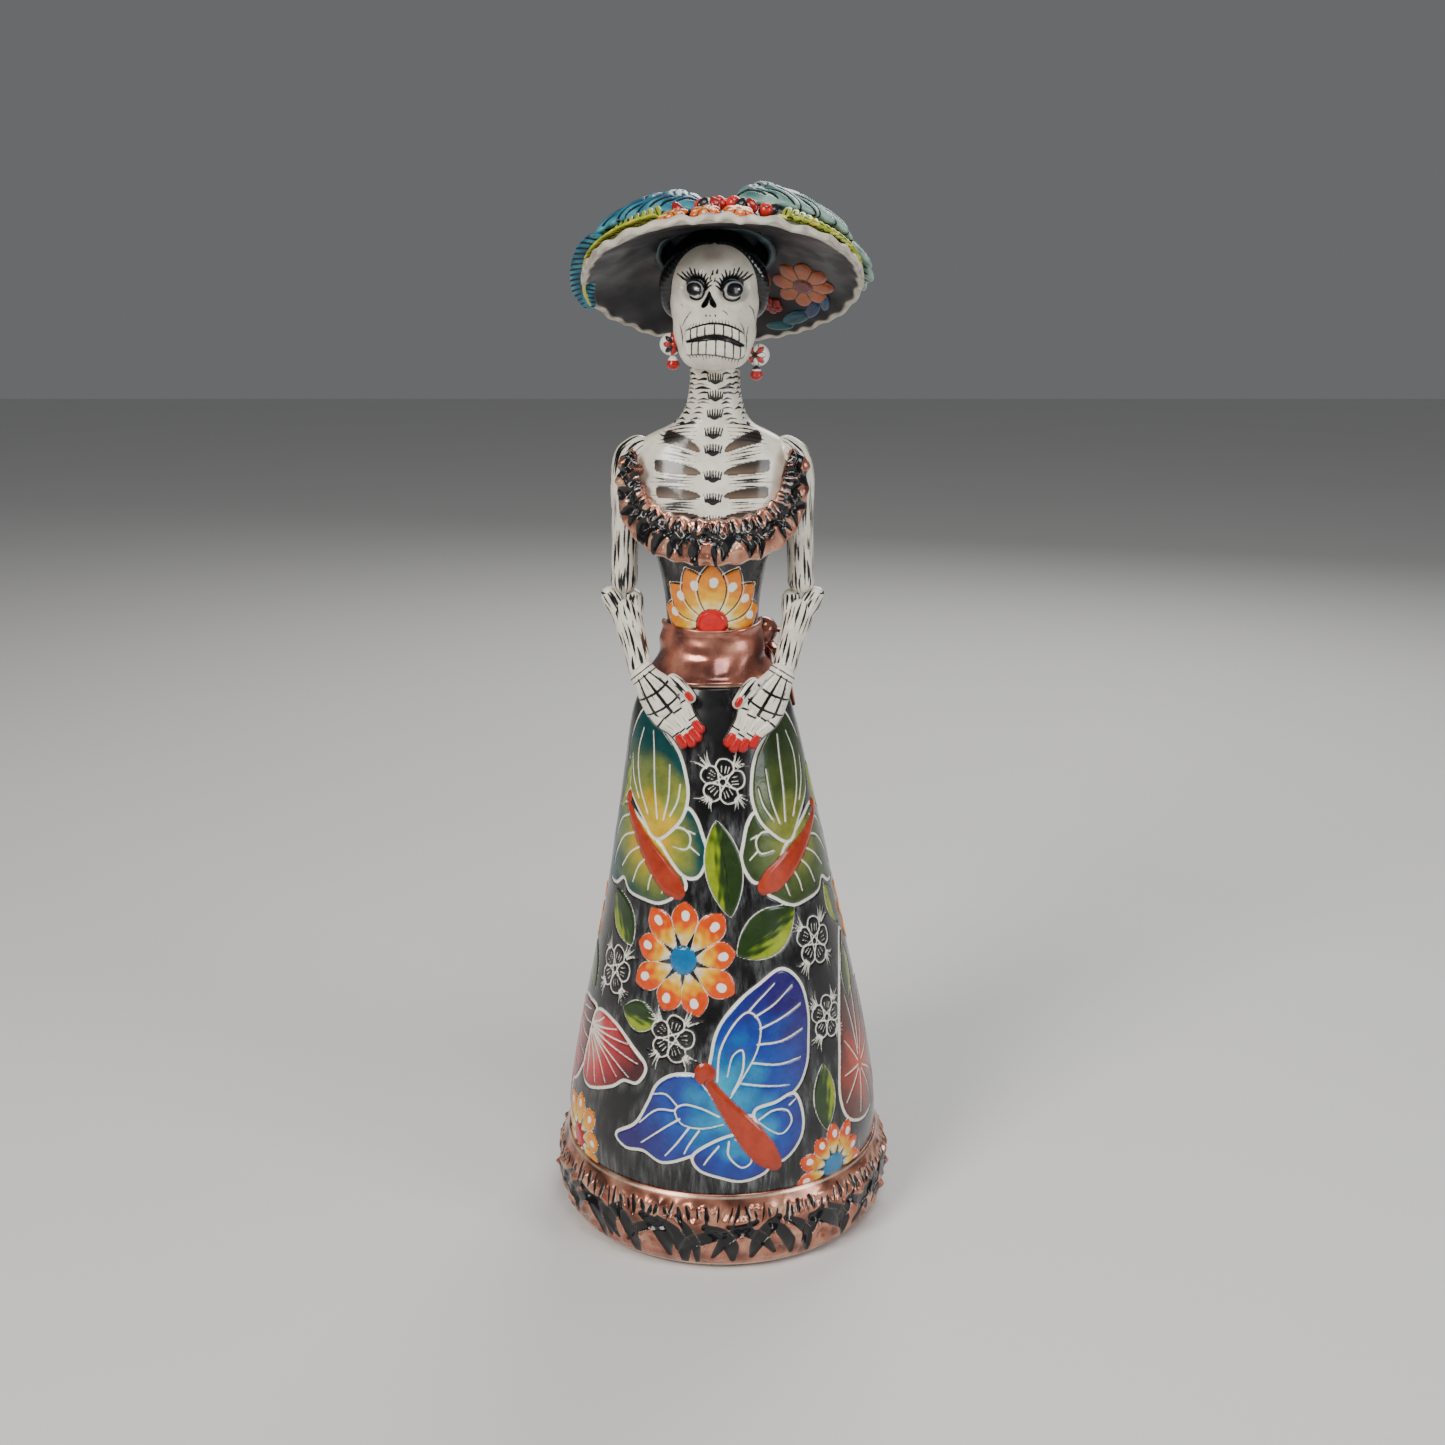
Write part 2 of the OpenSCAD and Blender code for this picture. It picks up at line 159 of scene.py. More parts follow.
class Coat:
    """Glaze on a surface, held at its vertices. across and up are flat coordinates in mm;
    on a turned surface across is an angle in radians, and radius turns it into mm."""

    def __init__(self, across, up, base, radius=None):
        self.across = np.asarray(across, float).ravel()
        self.up = np.asarray(up, float).ravel()
        self.radius = None if radius is None else np.asarray(radius, float).ravel()
        n = len(self.up)
        self.color = np.broadcast_to(np.asarray(base, float), (n, 3)).copy()
        self.pale, self.dark, self.white, self.near = (np.full(n, -FAR) for _ in range(4))
        self.scumble, self.metal, self.relief = (np.zeros(n) for _ in range(3))
        self.mask = np.ones(n, bool)

    def tint(self, color, amount):
        """Mixes a colour into the whole coat."""
        self.color[:] = lerp(self.color, color, amount)

    def ring(self, up, half, less=0.0):
        """A dark line with a half width in mm round the surface at a height."""
        self.dark = np.maximum(self.dark, half - np.abs(self.up - up) - less)

    def patch(self, across=0.0, up=0.0, reach=60.0, turn=0.0, size=1.0, flip=False):
        """The vertices round a place, in the place's own turned and scaled coordinates.
        On a turned surface the place's across is in degrees."""
        if self.radius is None:
            x = self.across - across
        else:
            away = self.across - math.radians(across)
            x = self.radius * ((away + math.pi) % (2 * math.pi) - math.pi)
        y = self.up - up
        ids = np.nonzero((np.abs(x) < reach) & (np.abs(y) < reach) & self.mask)[0]
        x, y = spin(x[ids], y[ids], -turn)
        x, y = x / size, y / size
        return Patch(self, ids, -x if flip else x, y, size)


class Patch:
    def __init__(self, coat, ids, x, y, size):
        self.coat, self.ids, self.x, self.y, self.size = coat, ids, x, y, size

    def limb(self, points, widths, smooth=True, reach=3.0):
        """How far inside a stroke each vertex is, in mm. The stroke's half width changes
        along it as widths says, and the field ends at reach."""
        line = curve(points) if smooth and len(points) > 2 else np.asarray(points, float)
        along = np.linspace(0, 1, len(line))
        w = np.interp(along, np.linspace(0, 1, len(widths)), widths)
        margin = max(widths) + reach
        low, high = line.min(0) - margin, line.max(0) + margin
        close = np.nonzero((self.x > low[0]) & (self.x < high[0]) & (self.y > low[1]) & (self.y < high[1]))[0]
        x, y = self.x[close], self.y[close]
        best = np.full(len(close), -FAR)
        for a, b, wa, wb in zip(line[:-1], line[1:], w[:-1], w[1:]):
            dx, dy = b - a
            t = np.clip(((x - a[0]) * dx + (y - a[1]) * dy) / max(dx * dx + dy * dy, 1e-9), 0, 1)
            gap = np.hypot(x - a[0] - t * dx, y - a[1] - t * dy)
            best = np.maximum(best, wa + (wb - wa) * t - gap)
        field = np.full(len(self.ids), -FAR)
        field[close] = best
        return field * self.size

    def shape(self, points):
        """How far inside a smooth closed outline each vertex is, in mm."""
        line = curve(points, closed=True)
        gap = -self.limb(np.vstack([line, line[:1]]), [0, 0], smooth=False, reach=FAR)
        inside = np.zeros(len(self.ids), bool)
        for a, b in zip(line, np.roll(line, -1, 0)):
            spans = (a[1] > self.y) != (b[1] > self.y)
            cross = a[0] + (self.y - a[1]) * (b[0] - a[0]) / (b[1] - a[1] + 1e-12)
            inside ^= spans & (self.x < cross)
        return np.where(inside, gap, -gap)

    def petal(self, start, end, half, blunt=0.8):
        """A petal along +Y from start to end: pointed at its tip and narrow at its root."""
        t = np.clip((self.y - start) / (end - start), 0, 1)
        width = half * np.sin(math.pi * t ** (1 / blunt)) ** 0.75
        beyond = np.maximum(start - self.y, self.y - end)
        return np.where(beyond > 0, -np.hypot(beyond, self.x), width - np.abs(self.x)) * self.size

    def fill(self, inside, color, lift=0.0, soft=0.8):
        """Paints what is inside, and raises it."""
        hit = inside > 0
        ids = self.ids[hit]
        color = np.asarray(color, float)
        self.coat.color[ids] = color[hit] if color.ndim == 2 else color
        self.coat.scumble[ids] = 0
        rise = lift * step(inside, 0, soft)
        self.coat.relief[self.ids] = np.maximum(self.coat.relief[self.ids], rise)
        self.coat.near[self.ids] = np.maximum(self.coat.near[self.ids], inside)
        for layer in (self.coat.pale, self.coat.dark, self.coat.white):
            layer[ids] = np.minimum(layer[ids], -np.minimum(inside[hit], FAR))

    def tint(self, color, amount):
        """Mixes a colour into the paint."""
        self.coat.color[self.ids] = lerp(self.coat.color[self.ids], color, amount)

    def lift(self, height):
        """Raises the surface by a height in mm."""
        self.coat.relief[self.ids] += height

    def spot(self, r, x=0.0, y=0.0):
        """How far inside a round spot each vertex is, in mm."""
        return self.limb([(x, y), (x, y)], [r, r], False)

    def mark(self, layer, inside):
        """Adds a line to a layer: pale, dark or white."""
        field = getattr(self.coat, layer)
        field[self.ids] = np.maximum(field[self.ids], inside)

    def line(self, layer, points, *widths, smooth=True):
        self.mark(layer, self.limb(points, widths or (0.5, 0.5), smooth))

    def rim(self, layer, inside, width):
        """A line of the given width along the edge of a shape."""
        self.mark(layer, width / 2 - np.abs(inside))

    def turned(self, angle, x=0.0, y=0.0):
        """The same vertices, with +Y turned clockwise by angle about (x, y)."""
        return Patch(self.coat, self.ids, *spin(self.x - x, self.y - y, angle), self.size)


# ---------------------------------------------------------------- meshes

def normals(rows, wrap_u, wrap_v):
    """Unit normals of a grid of points."""
    def slope(axis, wrap):
        if wrap:
            return np.roll(rows, -1, axis) - np.roll(rows, 1, axis)
        return np.gradient(rows, axis=axis)
    n = np.cross(slope(1, wrap_u), slope(0, wrap_v))
    return n / np.maximum(np.linalg.norm(n, axis=2, keepdims=True), 1e-9)


class Grid:
    """A grid of points in mm, rows by columns, which may close round on itself."""

    def __init__(self, rows, coat, wrap_u=True, wrap_v=False, caps=True):
        self.rows, self.coat, self.wrap_u, self.wrap_v = np.asarray(rows, float), coat, wrap_u, wrap_v
        self.caps = caps and wrap_u and not wrap_v

    def volume(self):
        """Signed volume, which tells which way the faces point."""
        r = self.rows
        u = np.roll(r, -1, 1) if self.wrap_u else np.concatenate([r[:, 1:], r[:, -1:]], 1)
        v = np.roll(r, -1, 0) if self.wrap_v else np.concatenate([r[1:], r[-1:]], 0)
        middle = r.reshape(-1, 3).mean(0)
        return np.einsum("ijk,ijk->", np.cross(u - r, v - r), r - middle)

    def carved(self):
        """The rows with the coat's relief and its carved lines in them."""
        coat = self.coat
        depth = coat.relief - GROOVE * step(coat.pale, -0.35, 0.35)
        way = 1 if self.volume() > 0 else -1
        out = normals(self.rows, self.wrap_u, self.wrap_v) * way
        return self.rows + out * depth.reshape(self.rows.shape[:2])[..., None]

    def mesh_data(self, start):
        nv, nu = self.rows.shape[:2]
        points = self.carved().reshape(-1, 3)
        ids = np.arange(nv * nu).reshape(nv, nu) + start
        right = np.roll(ids, -1, 1) if self.wrap_u else ids[:, 1:]
        left = ids if self.wrap_u else ids[:, :-1]
        if self.wrap_v:
            a, b, c, d = left, right, np.roll(right, -1, 0), np.roll(left, -1, 0)
        else:
            a, b, c, d = left[:-1], right[:-1], right[1:], left[1:]
        quads = np.stack([a, b, c, d], -1).reshape(-1, 4)
        fans, extra = [], []
        if self.caps:
            for row, turn in ((0, -1), (nv - 1, 1)):
                hub = start + len(points) + len(extra)
                ring = ids[row]
                fans.append(np.stack([ring, np.roll(ring, -1), np.full(nu, hub)], -1)[:, ::turn])
                extra.append(points[row * nu:(row + 1) * nu].mean(0))
        tris = np.concatenate(fans) if fans else np.zeros((0, 3), int)
        if self.volume() < 0:
            quads, tris = quads[:, ::-1], tris[:, ::-1]
        picks = np.concatenate([np.arange(nv * nu), [0, (nv - 1) * nu][:len(extra)]]).astype(int)
        points = np.vstack([points] + [e[None] for e in extra])
        return points, quads, tris, picks


def make_mesh(name, points, quads, tris):
    mesh = bpy.data.meshes.new(name)
    mesh.vertices.add(len(points))
    mesh.vertices.foreach_set("co", points.astype(np.float32).ravel())
    corners = np.concatenate([quads.ravel(), tris.ravel()]).astype(np.int32)
    starts = np.concatenate([np.arange(len(quads)) * 4, len(quads) * 4 + np.arange(len(tris)) * 3])
    mesh.loops.add(len(corners))
    mesh.loops.foreach_set("vertex_index", corners)
    mesh.polygons.add(len(starts))
    mesh.polygons.foreach_set("loop_start", starts.astype(np.int32))
    mesh.update(calc_edges=True)
    mesh.polygons.foreach_set("use_smooth", np.ones(len(starts), bool))
    return mesh


def build(name, grids, material, body, stands_for, place=None):
    """Makes one piece from its grids, gives it its glaze and hangs it on its body."""
    points, quads, tris, layers = [], [], [], {}
    count = 0
    for g in grids:
        p, q, t, picks = g.mesh_data(count)
        points.append(p), quads.append(q), tris.append(t)
        for key in ("color", "pale", "dark", "white", "scumble", "metal"):
            layers.setdefault(key, []).append(getattr(g.coat, key)[picks])
        count += len(p)
    points = np.concatenate(points)
    if place is not None:
        points = place(points)
    mesh = make_mesh(name, points * MM, np.concatenate(quads), np.concatenate(tris))
    for key, parts in layers.items():
        values = np.concatenate(parts)
        if key == "color":
            rgba = np.concatenate([values, np.ones((len(values), 1))], 1)
            mesh.attributes.new("paint", "FLOAT_COLOR", "POINT").data.foreach_set("color", rgba.ravel())
        else:
            mesh.attributes.new(key, "FLOAT", "POINT").data.foreach_set("value", values)
    mesh.validate()
    obj = bpy.data.objects.new(name, mesh)
    bpy.context.scene.collection.objects.link(obj)
    mesh.materials.append(material)
    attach(obj, body)
    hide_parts(*stands_for)


# ---------------------------------------------------------------- glaze shader

class Nodes:
    """Short names for the few shader nodes that the glazes use."""

    def __init__(self, material):
        material.use_nodes = True
        self.tree = material.node_tree
        self.tree.nodes.clear()

    def add(self, kind, **settings):
        node = self.tree.nodes.new(kind)
        for key, value in settings.items():
            setattr(node, key, value)
        return node

    def put(self, socket, value):
        if isinstance(value, bpy.types.NodeSocket):
            self.tree.links.new(value, socket)
        else:
            socket.default_value = value

    def layer(self, name):
        node = self.add("ShaderNodeAttribute", attribute_name=name)
        return node.outputs["Color"] if name == "paint" else node.outputs["Fac"]

    def noise(self, scale, detail=3.0, stretch=(1, 1, 1), roughness=0.5):
        coord = self.add("ShaderNodeTexCoord")
        mapping = self.add("ShaderNodeMapping")
        mapping.inputs["Scale"].default_value = stretch
        self.put(mapping.inputs["Vector"], coord.outputs["Object"])
        node = self.add("ShaderNodeTexNoise")
        self.put(node.inputs["Vector"], mapping.outputs["Vector"])
        node.inputs["Scale"].default_value = scale
        node.inputs["Detail"].default_value = detail
        node.inputs["Roughness"].default_value = roughness
        return node.outputs["Fac"]

    def math(self, operation, a, b=0.0, clamp=False):
        node = self.add("ShaderNodeMath", operation=operation, use_clamp=clamp)
        self.put(node.inputs[0], a)
        self.put(node.inputs[1], b)
        return node.outputs[0]

    def ramp(self, value, low, high, to_low=0.0, to_high=1.0):
        node = self.add("ShaderNodeMapRange", interpolation_type="SMOOTHSTEP")
        for socket, v in zip(("Value", "From Min", "From Max", "To Min", "To Max"),
                             (value, low, high, to_low, to_high)):
            self.put(node.inputs[socket], v)
        return node.outputs["Result"]

    def mix(self, factor, a, b, blend="MIX"):
        node = self.add("ShaderNodeMix", data_type="RGBA", blend_type=blend)
        self.put(node.inputs["Factor"], factor)
        for socket, v in ((node.inputs[6], a), (node.inputs[7], b)):
            self.put(socket, v if isinstance(v, bpy.types.NodeSocket) else (*v, 1.0))
        return node.outputs[2]


GREY_WASH = (0.20, 0.205, 0.21)
INK = (0.004, 0.004, 0.005)
LINE_WOBBLE = 0.25              # mm: how unsteady the edge of a painted line is


def glaze(name, mottle, line_color=CREAM, rough=0.22, metallic=0.0, coat=0.4):
    """Brushed underglaze below a clear, slightly uneven gloss glaze."""
    material = bpy.data.materials.new(name)
    n = Nodes(material)
    brush = n.noise(260, 4, (1, 1, 1), 0.6)
    cloud = n.noise(70, 3)
    fine = n.noise(1400, 3)
    paint = n.layer("paint")
    shade = n.mix(n.ramp(brush, 0.35, 0.72, 0.0, mottle), paint, (0.30, 0.27, 0.24), "MULTIPLY")
    color = n.mix(n.ramp(cloud, 0.45, 0.75, 0.0, mottle), shade, (1.0, 0.96, 0.88), "SOFT_LIGHT")
    scratch = n.ramp(n.noise(330, 6, (1.0, 1.0, 0.14), 0.72), 0.40, 0.74)
    amount = n.math("MULTIPLY", n.layer("scumble"), scratch, True)
    color = n.mix(amount, color, GREY_WASH)
    wobble = n.math("MULTIPLY", n.math("SUBTRACT", n.noise(900, 2), 0.5), LINE_WOBBLE)
    dark = n.ramp(n.math("ADD", n.layer("dark"), wobble), -0.14, 0.14)
    color = n.mix(dark, color, INK)
    white = n.ramp(n.math("ADD", n.layer("white"), wobble), -0.2, 0.2)
    color = n.mix(white, color, WHITE)
    pale = n.ramp(n.math("ADD", n.layer("pale"), wobble), -0.16, 0.16)
    color = n.mix(pale, color, line_color)
    shader = n.add("ShaderNodeBsdfPrincipled")
    n.put(shader.inputs["Base Color"], color)
    n.put(shader.inputs["Roughness"], n.ramp(cloud, 0.3, 0.7, rough * 0.7, rough * 1.5))
    metal = n.math("MULTIPLY", n.layer("metal"), n.math("SUBTRACT", 1.0, dark), True)
    n.put(shader.inputs["Metallic"], n.math("MULTIPLY", metal, metallic))
    shader.inputs["Specular IOR Level"].default_value = 0.3
    shader.inputs["Coat Weight"].default_value = coat
    shader.inputs["Coat Roughness"].default_value = 0.06
    height = n.math("ADD", n.math("MULTIPLY", cloud, 0.7), n.math("MULTIPLY", fine, 0.05))
    bump = n.add("ShaderNodeBump")
    bump.inputs["Distance"].default_value = 0.0006
    bump.inputs["Strength"].default_value = 0.5
    n.put(bump.inputs["Height"], height)
    n.put(shader.inputs["Normal"], bump.outputs["Normal"])
    n.put(shader.inputs["Coat Normal"], bump.outputs["Normal"])
    output = n.add("ShaderNodeOutputMaterial")
    n.put(output.inputs["Surface"], shader.outputs[0])
    return material


# ---------------------------------------------------------------- motifs

VEIN = 0.36                     # mm: half width of a wing's carved veins


def wing(p, outline, root, near, middle, far, reach, lines, seed):
    """A butterfly's wing: shaded from its root outwards, with carved veins and a carved rim."""
    inside = p.shape(outline)
    t = np.hypot(p.x - root[0], p.y - root[1]) / reach
    t = t + 0.09 * waves(p.x, p.y, size=14, seed=seed)
    p.fill(inside, ramp(t, near, middle, far), lift=0.35)
    for points in lines:
        p.line("pale", points, VEIN * 1.1, VEIN, VEIN * 0.7)
    p.coat.pale[p.ids[(inside > 0) & (inside <= 0.1)]] = -FAR
    p.rim("pale", inside + 0.2, 1.25)


def butterfly_body(p, head, head_size, spine, widths):
    """A smooth brick-red club with a round head."""
    for inside in (p.limb([head, head], [head_size, head_size], False), p.limb(spine, widths)):
        p.fill(inside, BRICK, lift=0.7, soft=1.6)
        p.rim("dark", inside + 0.1, 0.35)


def open_butterfly(p, near, middle, far):
    """A butterfly that climbs to the right, seen from above with all four wings open."""
    wing(p, [(1, 0), (1, 14), (4, 24), (11, 33), (19, 39), (29, 44), (38, 37), (42, 25), (42, 14),
             (41, 4), (35, -5), (17, -12)], (6, -2), near, middle, far, 42, [
        [(3, 2), (4, 14), (9, 24), (15, 29), (20, 24), (19, 14), (13, 3), (8, -5)],
        [(15, 29), (19, 33), (26, 39)], [(18, 27), (26, 31), (34, 37)],
        [(20, 22), (29, 25), (38, 29)], [(19, 16), (29, 16), (39, 19)],
        [(17, 9), (28, 7), (38, 8)], [(13, 1), (24, -1), (33, -2)],
        [(9, -3), (13, 6), (13, 14), (9, 12), (7, 4)]], 3)
    wing(p, [(18, -11), (27, -8), (35, -6), (39, -14), (39, -23), (34, -30), (28, -32), (24, -24)],
         (17, -18), near, middle, far, 26, [
        [(20, -14), (26, -11), (32, -12), (34, -17), (30, -21), (25, -19), (20, -15)],
        [(33, -10), (36, -8)]], 5)
    wing(p, [(-1, 1), (-6, 4), (-15, 3), (-22, -2), (-26, -10), (-32, -20), (-42, -27), (-37, -31),
             (-28, -30), (-19, -33), (-6, -28), (3, -23), (11, -16)], (6, -10), near, middle, far, 40, [
        [(4, -12), (-3, -9), (-10, -8), (-14, -11), (-11, -16), (-3, -17), (6, -15)],
        [(-13, -9), (-18, -5), (-24, -6)], [(-14, -11), (-22, -12), (-30, -19)],
        [(-12, -14), (-19, -19), (-29, -27)], [(-8, -17), (-13, -24), (-18, -30)],
        [(-4, -18), (-8, -24), (-10, -28)], [(4, -9), (0, -3), (-4, 2)]], 7)
    wing(p, [(-6, -28), (-4, -34), (4, -37), (14, -39), (24, -35), (21, -28), (14, -20), (5, -21)],
         (12, -20), near, middle, far, 24, [
        [(8, -22), (8, -28), (13, -33), (17, -31), (16, -26), (10, -21)], [(4, -24), (0, -29), (-2, -32)]], 9)
    butterfly_body(p, (-2, 5), 4.4, [(0, 1), (6, -7), (14, -17), (21, -26), (27, -33)],
                   [2.0, 2.9, 4.3, 5.5, 5.4, 3.2])


def side_butterfly(p, near, middle, far, slant=0.0):
    """A butterfly that hangs from a tall wing, with its body slanting down across its wings."""
    wing(p, [(-22, 13), (-34, 11), (-40, 2), (-43, -8), (-39, -19), (-31, -20), (-24, -16), (-19, -20),
             (-10, -21), (-2, -21), (5, -17), (9, -12), (0, 0)], (-9, 3), near, middle, far, 27, [
        [(-22, 10), (-30, 6), (-36, -2)], [(-17, 4), (-26, 0), (-33, -8), (-35, -14)],
        [(-12, 0), (-20, -5), (-26, -12)], [(-8, -3), (-14, -9), (-17, -16)],
        [(-4, -6), (-7, -12), (-8, -17)], [(1, -8), (0, -13), (-1, -17)]], 11)
    wing(p, [(3, 16), (8, 18), (12, 14), (15, 7), (17, 1), (16, -5), (13, -9), (7, -8), (-2, 2), (-6, 8)],
         (-4, 1), near, middle, far, 20, [
        [(0, 8), (6, 10), (10, 7), (9, 2), (3, 2)], [(9, 9), (12, 8)], [(10, 3), (14, 0)]], 13)
    wing(p, [(-5, 4), (-14, 12), (-25, 22), (-28, 32), (-25, 42), (-16, 54), (-6, 49), (3, 40), (7, 30),
             (8, 21), (5, 12)], (-9, 4), near, middle, far, 38, [
        [(-10, 13), (-16, 24), (-18, 36), (-15, 46)], [(-5, 12), (-7, 25), (-8, 38), (-9, 46)],
        [(-2, 12), (0, 22), (0, 34)], [(-16, 18), (-21, 26), (-23, 34)], [(1, 14), (4, 20), (5, 27)]], 15)
    q = p.turned(slant, -8, 1)
    butterfly_body(q, (-16.8, 15.6), 3.3, [(-15.4, 12.6), (-7, 4), (1, -4), (9, -12), (14, -16.5)],
                   [1.8, 2.8, 4.0, 5.0, 5.0, 3.2])


def flower(p, petals, size, disc, disc_color, tip, half=None):
    """A flower seen from above: shaded petals with a white dot each, round a plain disc."""
    half = half or size * math.sin(math.pi / petals) * 0.70
    for k in range(petals):
        q = p.turned(360 * k / petals)
        reach = size * (1 + 0.08 * math.sin(2.4 * k))
        inside = q.petal(disc * 0.6, reach, half, blunt=0.6)
        t = (q.y - disc) / (reach - disc) + 0.10 * waves(q.x, q.y, size=5, seed=20 + k)
        q.fill(inside, ramp(t * 1.1 + 0.06, CREAM, YELLOW, tip, tip), lift=0.45)
        q.rim("pale", inside, 0.3)
        q.line("white", [(0.5, reach * 0.74), (0.5, reach * 0.78)], size * 0.065, size * 0.075)
    inside = p.spot(disc)
    p.fill(inside, disc_color, lift=0.7, soft=1.5)
    p.rim("dark", inside, 0.4)


def line_flower(p, size):
    """A flower that is only scratched in, with tufts of grass beside it."""
    for k in range(5):
        q = p.turned(72 * k + 12)
        q.line("pale", [(0, 1.6), (-size * 0.40, size * 0.55), (-size * 0.32, size * 0.95), (0, size * 1.05),
                        (size * 0.34, size * 0.9), (size * 0.40, size * 0.5), (0, 1.6)], 0.26, 0.32)
        for x in (-0.12, 0.04, 0.16):
            q.line("pale", [(x * size, size * 0.42), (x * size * 1.3, size * 0.72)], 0.12, 0.2)
    ring = [(1.5 * math.sin(a), 1.5 * math.cos(a)) for a in np.linspace(0, 2 * math.pi, 9)]
    p.line("pale", ring, 0.26, 0.26)
    rng = np.random.default_rng(int(size * 10))
    for angle in (42, 138, 222, 318):
        q = p.turned(angle)
        for tilt in np.linspace(-2.4, 2.4, 6) + rng.uniform(-0.3, 0.3, 6):
            far = size * rng.uniform(1.25, 1.65)
            q.line("pale", [(tilt * 0.5, size * 0.95), (tilt * 1.0, (far + size) / 2), (tilt * 1.8, far)],
                   0.24, 0.2, 0.06)


def leaf(p, length, half, light_side):
    """A pointed leaf along +Y: dark green, with a bright lime area along one side."""
    inside = p.petal(-length / 2, length / 2, half, blunt=1.0)
    brushed = 0.22 * waves(p.x * 2.0, p.y * 0.7, size=6, seed=31)
    t = step(light_side * p.x / half + 0.25 * p.y / length + brushed, -0.05, 0.55)
    color = ramp(t, (0.020, 0.045, 0.010), (0.07, 0.13, 0.012), (0.28, 0.36, 0.012))
    p.fill(inside, color, lift=0.35)
    p.rim("pale", inside + 0.1, 0.42)
    p.line("dark", [(0, -length * 0.34), (half * 0.1, 0), (0, length * 0.30)], 0.1, 0.22, 0.1)


def fan_wing(p, outline, root, colors, reach, tips):
    """A wing seen at the edge of a butterfly, with carved veins that fan out from its root."""
    x, y = root
    lines = [[(x + (a - x) * 0.12, y + (b - y) * 0.12), (x + (a - x) * 0.55 + 0.8, y + (b - y) * 0.5),
              (x + (a - x) * 0.93, y + (b - y) * 0.93)] for a, b in tips]
    wing(p, outline, root, *colors, reach, lines, 17)


# ---------------------------------------------------------------- skirt and hem

SKIRT_LINE = [(64, 0), (65.3, 16), (66.3, 34), (65.8, 50), (60.3, 83), (51.4, 125), (47.6, 143),
              (39.4, 186), (33.6, 216), (29.5, 227), (26.6, 233)]


def skirt_radius(z):
    line = curve([(z0, r) for r, z0 in SKIRT_LINE], steps=8)
    return np.interp(z, line[:, 0], line[:, 1])


def lean(z):
    """How far the skirt's middle is to the figure's right at a height."""
    return np.interp(z, [0, 80, 125, 160, 186, 216, SKIRT_TOP], [0, 0, -0.3, -1.3, -2.4, -3.8, -4.0])


def turned_rows(radii, heights, columns, lean_x):
    """Rings about the vertical; angle 0 faces -Y and grows towards +X."""
    a = around(columns)
    r, z = np.asarray(radii, float)[:, None], np.asarray(heights, float)[:, None]
    x = r * np.sin(a) + np.asarray(lean_x, float).reshape(-1, 1)
    return np.stack([x, -r * np.cos(a), z + 0 * a], -1), a


